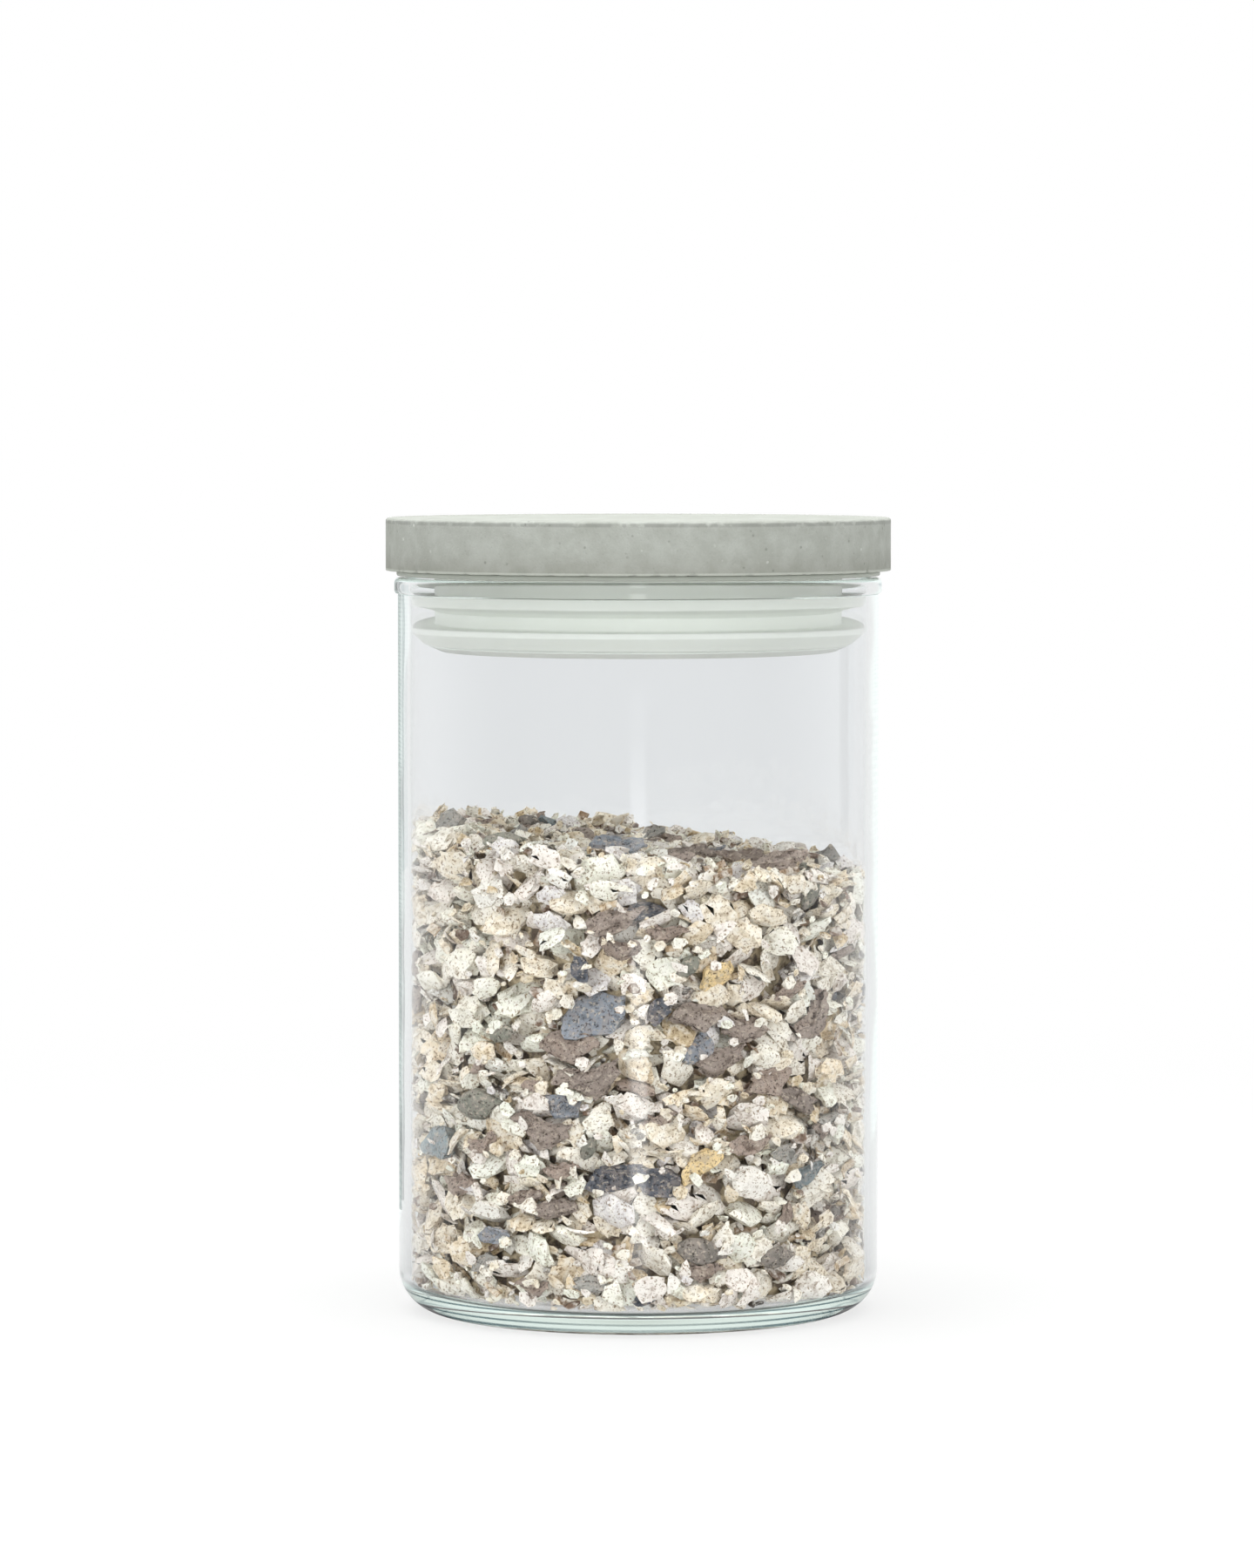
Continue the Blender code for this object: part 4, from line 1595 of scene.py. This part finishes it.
def pour_wall(pour):
    """Fills the space behind the glass, from the glass inwards."""
    deepest = pour.sizes.bed_depth
    for what in wall_order(pour.draw, pour.sizes):
        turn, height = pour.emptiest_wall(WALL_TRIES)
        if what == "flake":
            shape, size, tint = drawn_flake(pour, WALL_ODDS)
            group = f"oats_{sector(turn)}"
            pour.at_wall(group, shape, size, tint, turn, height, pour.tilt(0.58), deepest)
        elif what == "fruit":
            if math.sin(turn) < -0.5 and pour.draw.random() < FRONT_LESS:
                continue
            shape, size, tint = drawn_fruit(pour)
            pour.at_wall("fruit", shape, size, tint, turn, height, pour.tilt(0.7), deepest)
        else:
            shape, size, tint = drawn_crumb(pour)
            group = f"crumbs_{(sector(turn) + 1) // 2}"
            pour.at_wall(group, shape, size, tint, turn, height, pour.tilt(0.4), 0.8 * deepest)


def lying(draw, spread):
    """A turn for a piece that lies on a level bed, tipped a little each way."""
    tipped = Euler((draw.normal(0, spread), draw.normal(0, spread), 0)).to_matrix()
    return tipped @ Matrix.Rotation(draw.uniform(0, 2 * math.pi), 3, "Z")


def pour_top(pour):
    """Heaps pieces on top until the heap has its height."""
    sizes = pour.sizes
    order = ["fruit"] * sizes.top_fruit + ["flake"] * sizes.top_flakes
    order = list(pour.draw.permutation(order)) + ["crumb"] * sizes.top_crumbs
    for what in order:
        if what == "flake":
            shape, size, tint = drawn_flake(pour, TOP_ODDS)
            group = "oats_top"
        elif what == "fruit":
            shape, size, tint = drawn_fruit(pour)
            group = "fruit_top"
        else:
            shape, size, tint = drawn_crumb(pour)
            group = "crumbs_top"
        x, y = pour.lowest_top(TOP_TRIES)
        lean = lying(pour.draw, 0.65)
        pour.on_flat(pour.top, group, shape, size, tint, x, y, lean, ceiling=OVER_SURFACE)


# The pieces that stand out on the heap: tint, place across and in depth and length, all three in
# millimetres, and slope in degrees
CREST_PIECES = (
    ("grey", -39, -12, 8, 50),
    ("brown", -33.5, 8, 8, 0),
    ("seed", -23, 20, 6, -15),
    ("green", -27, -33, 9, 5),
    ("bluegrey", -4.5, -30, 11, 0),
    ("grey", 3, 12, 6, 40),
    ("raisin", 11.5, -18, 9, -5),
    ("raisin", 8, -38, 7, 10),
    ("brown", 22, -24, 11, -15),
    ("raisin", 27.5, -30, 13, 25),
    ("grey", 31, -8, 8, 60),
    ("grey", 40, 2, 7, -35),
)
CREST_PRESS = 0.8 * MM


def pour_crest(pour):
    """Lays the pieces that stand out along the top of the heap."""
    for name, x, y, long_side, slope in CREST_PIECES:
        shape = pour.shape(FINE_SHAPES[FRUIT_SHAPES[name]])
        lean = Matrix.Rotation(0.9, 3, "X") @ slope_turn(slope, pour.draw)
        tint = fruit_tint(pour.draw, name)
        spot = (x * MM, y * MM)
        for size in (long_side, 0.8 * long_side):
            if pour.on_flat(pour.top, "fruit_top", shape, size * MM, tint, *spot, lean, press=CREST_PRESS):
                break


FLOOR_SETBACK = 11.0 * MM


def pour_floor(pour):
    """Lays flakes on the glass floor, where they are seen through the base."""
    reach = pour.radius - FLOOR_SETBACK
    for _ in range(pour.sizes.floor_flakes):
        shape, size, tint = drawn_flake(pour, WALL_ODDS)
        out = reach * math.sqrt(pour.draw.random())
        turn = pour.draw.uniform(0, 2 * math.pi)
        spot = (out * math.cos(turn), out * math.sin(turn))
        pour.on_flat(pour.ground, "oats_floor", shape, size, tint, *spot, lying(pour.draw, 0.2))


def joined(name, copies, sharp):
    """One mesh of many copies, each with its tint on its vertices."""
    places = []
    corners = []
    totals = []
    tints = []
    first = 0
    for shape, matrix, shift, tint in copies:
        places.append(shape.places @ matrix.T + shift)
        corners.append(shape.corners + first)
        totals.append(shape.totals)
        shaded = np.ones((len(shape.places), 4))
        shaded[:, :3] = np.clip(tint[None, :] * shape.shade[:, None], 0, 1)
        tints.append(shaded)
        first += len(shape.places)
    places = np.concatenate(places)
    corners = np.concatenate(corners)
    totals = np.concatenate(totals)
    mesh = bpy.data.meshes.new(name)
    mesh.vertices.add(len(places))
    mesh.vertices.foreach_set("co", places.ravel())
    mesh.loops.add(len(corners))
    mesh.loops.foreach_set("vertex_index", corners)
    mesh.polygons.add(len(totals))
    mesh.polygons.foreach_set("loop_start", np.cumsum(totals) - totals)
    mesh.update(calc_edges=True)
    mesh.validate()
    tint_layer = mesh.attributes.new(TINT, "FLOAT_COLOR", "POINT")
    tint_layer.data.foreach_set("color", np.concatenate(tints).ravel())
    mesh.shade_smooth()
    mesh.set_sharp_from_angle(angle=sharp)
    piece = bpy.data.objects.new(f"muesli_{name}", mesh)
    bpy.context.scene.collection.objects.link(piece)
    return piece


SHARPNESS = {"oats": 38, "fruit": 60, "crumbs": 15}


class JAR_OT_muesli(bpy.types.Operator):
    """Models each kind of muesli piece once and pours copies of them against the glass and over the heap"""

    bl_idname = "jar.muesli"
    bl_label = "Muesli"

    def execute(self, context):
        pour = Pour(context.scene.jar_glass, context.scene.jar_muesli)
        pour_front(pour)
        pour_wall(pour)
        pour_top(pour)
        pour_crest(pour)
        pour_floor(pour)
        oats = muesli_material(
            "rolled_oats", linear(160, 142, 122), linear(248, 244, 236), 0.60, 0.55 * MM, 0.36 * MM, 0.0
        )
        fruit = muesli_material(
            "dried_fruit", linear(136, 126, 122), linear(158, 146, 138), 0.50, 0.62 * MM, 0.30 * MM, 0.60
        )
        for name, copies in sorted(pour.copies.items()):
            finish = fruit if name.startswith("fruit") else oats
            piece = joined(name, copies, math.radians(SHARPNESS[name.split("_")[0]]))
            finish_piece(piece, finish, "jar", "oat_muesli", "muesli_fill")
        return {"FINISHED"}


def core_material():
    """Muesli deep in the heap, where hardly any light comes. Its tone is kept darker than the pieces',
    partly as painted shade for that depth.
    """
    made, nodes = new_material("muesli_depth")
    place = nodes.place()
    flecks = nodes.ramp(nodes.noise(place, 2.4 * MM, 3.0, 0.6), 0.40, 0.60)
    # Painted shade, in part: the core's browns and creams are darker than the pieces at the glass
    tone = nodes.blend(flecks, linear(110, 98, 86), linear(206, 190, 160))
    nodes.surface(
        {
            "Base Color": tone,
            "Roughness": 0.95,
            "Normal": nodes.bump(nodes.noise(place, 1.2 * MM, 3.0), 0.5 * MM, 1.0),
        }
    )
    return made


CORE_LIFT = 2.0 * MM
CORE_CUTS = 40
CORE_STEPS = 96


class JAR_OT_core(bpy.types.Operator):
    """Turns the packed heart of the muesli, which shows only as dark behind the gaps between pieces"""

    bl_idname = "jar.core"
    bl_label = "Muesli core"

    def execute(self, context):
        glass = context.scene.jar_glass
        sizes = context.scene.jar_muesli
        radius = glass.diameter / 2 - glass.wall - sizes.bed_depth
        bottom = glass.base + CORE_LIFT
        top = sizes.level - sizes.bed_depth
        corners = [(0.0, bottom), (radius, bottom, CORE_LIFT, SMALL_ARC_STEPS), (radius, top), (0.0, top)]
        piece = draw_outline("muesli_core", corners)
        for start in ((radius, bottom), (0.0, top)):
            cut_edge(start, (radius, top), CORE_CUTS)
        spin_outline(CORE_STEPS)
        for vertex in piece.data.vertices:
            if vertex.co.z > top - MERGE_DISTANCE:
                vertex.co.z -= sizes.drop_across * vertex.co.x / (2 * radius)
        lumps = bpy.data.textures.new("lumps", "CLOUDS")
        lumps.noise_scale = 4.0 * MM
        rough = piece.modifiers.new("lumps", "DISPLACE")
        rough.texture = lumps
        rough.texture_coords = "LOCAL"
        rough.mid_level = 0.9
        rough.strength = 1.6 * MM
        bpy.ops.object.modifier_apply(modifier=rough.name)
        bpy.data.textures.remove(lumps)
        finish_piece(piece, core_material(), "jar", "oat_muesli", "muesli_fill")
        return {"FINISHED"}


def aim(obj, target):
    """Turns an object so that its -Z axis points at a place."""
    way = Vector(target) - obj.location
    obj.rotation_euler = way.to_track_quat("-Z", "Y").to_euler()


# The sensor's width, in millimetres as the lens is
SENSOR_WIDTH = 36


def add_camera(sizes):
    """The camera of the photograph, level but for a slight downwards tilt."""
    deselect_all()
    bpy.ops.object.camera_add(location=(sizes.camera_side, -sizes.camera_distance, sizes.camera_height))
    camera = bpy.context.object
    camera.name = "camera"
    camera.rotation_euler = (math.pi / 2 - sizes.camera_pitch, 0, 0)
    camera.data.lens = sizes.lens
    camera.data.sensor_width = SENSOR_WIDTH
    camera.data.clip_start = 0.05
    camera.data.clip_end = 100
    bpy.context.scene.camera = camera


# The softboxes: name, place, side and level
LAMPS = (
    ("top_softbox", (-0.05, -0.10, 1.20), 0.9, 1.80),
    ("left_softbox", (-1.05, -1.15, 0.29), 0.5, 0.27),
    ("right_softbox", (1.05, -1.10, 0.29), 0.5, 0.27),
)


def add_lamp(name, place, side, level):
    """A softbox that lights the jar's middle to a level at which colours render as written."""
    deselect_all()
    bpy.ops.object.light_add(type="AREA", location=place)
    lamp = bpy.context.object
    lamp.name = name
    target = Vector((0, 0, glass_high.z / 2))
    aim(lamp, target)
    lamp.data.shape = "SQUARE"
    lamp.data.size = side
    lamp.data.energy = math.pi**2 * (Vector(place) - target).length_squared * level
    lamp.visible_camera = False
    lamp.visible_transmission = False
    lamp.visible_glossy = False


MIRROR_START = -0.55
MIRROR_END = 0.95


def mirror_level(nodes, behind, sizes):
    """How bright the glass mirrors a direction: white straight behind, dimmer at the sides and in front."""
    once = nodes.light_path("Glossy Depth") < 1.5
    rise = nodes.ramp(behind, MIRROR_START, MIRROR_END)
    level = sizes.reflected_level + rise * (1 - sizes.reflected_level)
    return once * level + (1 - once) * sizes.deep_level


def ray_kinds(nodes):
    """Four kinds of ray, each 0 or 1: seen straight, mirrored, lighting inside the glass, and the rest."""
    through = nodes.light_path("Is Transmission Ray")
    glass = (through + nodes.light_path("Is Glossy Ray")).clamped()
    first = nodes.light_path("Diffuse Depth") < 0.5
    straight = nodes.light_path("Glossy Depth") < 0.5
    white = (nodes.light_path("Is Camera Ray") + through * first * straight).clamped()
    mirrored = glass * first * (1 - white)
    entering = glass * (1 - first)
    return white, mirrored, entering, 1 - (white + mirrored + entering).clamped()


def light_room(sizes):
    """A plain white room: full white straight through glass and to the camera, dimmer in reflections."""
    world = bpy.data.worlds.new("room")
    world.use_nodes = True
    bpy.context.scene.world = world
    nodes = Nodes(world.node_tree)
    white, mirrored, entering, rest = ray_kinds(nodes)
    way = nodes.add("ShaderNodeTexCoord", None, None, "Generated")
    behind = nodes.along(way, "Y")
    backdrop = nodes.ramp(behind, 0.15, 0.85)
    outer = sizes.room_level + backdrop * (sizes.backdrop_level - sizes.room_level)
    inner = sizes.inner_level + backdrop * (sizes.inner_backdrop - sizes.inner_level)
    strength = white + mirrored * mirror_level(nodes, behind, sizes) + entering * inner + rest * outer
    shine = nodes.add("ShaderNodeBackground", None, {"Color": (1.0, 1.0, 1.0), "Strength": strength})
    nodes.add("ShaderNodeOutputWorld", None, {"Surface": shine})


FLOOR_SIDE = 30.0

# How far from the axis the streak on the floor rises and fades, and where the floor turns white
STREAK_RISE = (0.10, 0.16)
STREAK_FADE = (0.55, 0.85)
WHITE_RISE = (0.12, 0.70)

# Where the streak's side is full and where it ends, as shares of how far from the axis it lies
STREAK_SIDES = (0.035, 0.09)


def add_floor(sizes):
    """A wide pale floor, lit from below like a light table, that keeps the jar's soft shadow."""
    deselect_all()
    bpy.ops.mesh.primitive_plane_add(size=FLOOR_SIDE)
    floor = bpy.context.object
    floor.name = "floor"
    made, nodes = new_material("pale_floor")
    place = nodes.place()
    white, mirrored, entering, rest = ray_kinds(nodes)
    away = nodes.distance(place)
    behind = nodes.along(place, "Y") / away
    side = nodes.along(place, "X") / away
    narrow = 1 - nodes.ramp(abs(side), *STREAK_SIDES)
    once = nodes.light_path("Glossy Depth") < 1.5
    reach = nodes.ramp(away, *STREAK_RISE) * (1 - nodes.ramp(away, *STREAK_FADE))
    streak = narrow * once * (behind < 0.0) * reach * sizes.streak_level
    shown = mirror_level(nodes, behind, sizes) + streak
    white_level = sizes.floor_glow + nodes.ramp(away, *WHITE_RISE) * (1 - sizes.floor_glow)
    outer = rest * sizes.floor_light
    strength = white * white_level + mirrored * shown + outer + entering * sizes.inner_level
    glow = nodes.add("ShaderNodeEmission", None, {"Color": (1.0, 1.0, 1.0), "Strength": strength})
    grain = 0.97 + nodes.noise(place, 0.4, 2.0) * 0.03
    held = grain * (white * (1 - white_level) * sizes.floor_whiteness + rest + entering)
    tone = nodes.blend(held, (0.0, 0.0, 0.0), sizes.floor_colour)
    lit = nodes.add("ShaderNodeBsdfDiffuse", None, {"Color": tone})
    surface = nodes.add("ShaderNodeAddShader", None, {0: lit, 1: glow})
    nodes.add("ShaderNodeOutputMaterial", None, {"Surface": surface})
    floor.data.materials.append(made)


# The cards behind the jar: name, place across and in depth, width and tone
CARDS = (
    ("dark_flag", (-0.092, 0.16), 0.038, (0.27, 0.28, 0.28)),
    ("grey_flag", (-0.165, 1.20), 0.11, (0.74, 0.80, 0.79)),
    ("pale_flag", (-0.65, 1.10), 0.26, (0.76, 0.81, 0.82)),
)
CARD_MIDDLE = 0.15
CARD_HEIGHT = 0.5


def add_card(name, place, width, tone):
    """A card behind the jar that shows only where the glass mirrors it."""
    deselect_all()
    bpy.ops.mesh.primitive_plane_add(size=1.0)
    card = bpy.context.object
    card.name = name
    card.scale = (width, CARD_HEIGHT, 1.0)
    card.location = (*place, CARD_MIDDLE)
    aim(card, (0, 0, CARD_MIDDLE))
    made, nodes = new_material(name)
    shine = nodes.add("ShaderNodeEmission", None, {"Color": tone, "Strength": 1.0})
    clear = nodes.add("ShaderNodeBsdfTransparent")
    seen = nodes.light_path("Glossy Depth") > 0.5
    nodes.add("ShaderNodeOutputMaterial", None, {"Surface": nodes.mix_shader(seen, clear, shine)})
    card.data.materials.append(made)
    card.visible_camera = False
    card.visible_diffuse = False
    card.visible_shadow = False


class JAR_OT_stage(bpy.types.Operator):
    """Sets up the camera, the softboxes, the white room and the pale floor"""

    bl_idname = "jar.stage"
    bl_label = "Stage"

    def execute(self, context):
        sizes = context.scene.jar_stage
        add_camera(sizes)
        for lamp in LAMPS:
            add_lamp(*lamp)
        light_room(sizes)
        add_floor(sizes)
        for card in CARDS:
            add_card(*card)
        context.scene.view_settings.view_transform = "Standard"
        return {"FINISHED"}


OPERATORS = (JAR_OT_stage, JAR_OT_glass, JAR_OT_lid, JAR_OT_ring, JAR_OT_plug, JAR_OT_core, JAR_OT_muesli)
SIZE_GROUPS = {
    "jar_stage": StageSizes,
    "jar_glass": GlassSizes,
    "jar_lid": LidSizes,
    "jar_ring": RingSizes,
    "jar_plug": PlugSizes,
    "jar_muesli": MuesliSizes,
}


class JAR_PT_panel(bpy.types.Panel):
    """Lists the jar's pieces and their sizes"""

    bl_idname = "JAR_PT_panel"
    bl_label = "Glass storage jar"
    bl_space_type = "VIEW_3D"
    bl_region_type = "UI"
    bl_category = "Jar"

    def draw(self, context):
        for operator in OPERATORS:
            self.layout.operator(operator.bl_idname)
        for name, group in SIZE_GROUPS.items():
            box = self.layout.box()
            box.label(text=group.__doc__)
            for size in group.__annotations__:
                box.prop(getattr(context.scene, name), size)


def register():
    for made in (*SIZE_GROUPS.values(), *OPERATORS, JAR_PT_panel):
        bpy.utils.register_class(made)
    for name, group in SIZE_GROUPS.items():
        setattr(bpy.types.Scene, name, bpy.props.PointerProperty(type=group))


def unregister():
    for name in SIZE_GROUPS:
        delattr(bpy.types.Scene, name)
    for made in reversed((*SIZE_GROUPS.values(), *OPERATORS, JAR_PT_panel)):
        bpy.utils.unregister_class(made)


def main():
    register()
    bpy.ops.jar.stage()
    bpy.ops.jar.glass()
    bpy.ops.jar.lid()
    bpy.ops.jar.ring()
    bpy.ops.jar.plug()
    bpy.ops.jar.core()
    bpy.ops.jar.muesli()


if __name__ == "__main__":
    main()
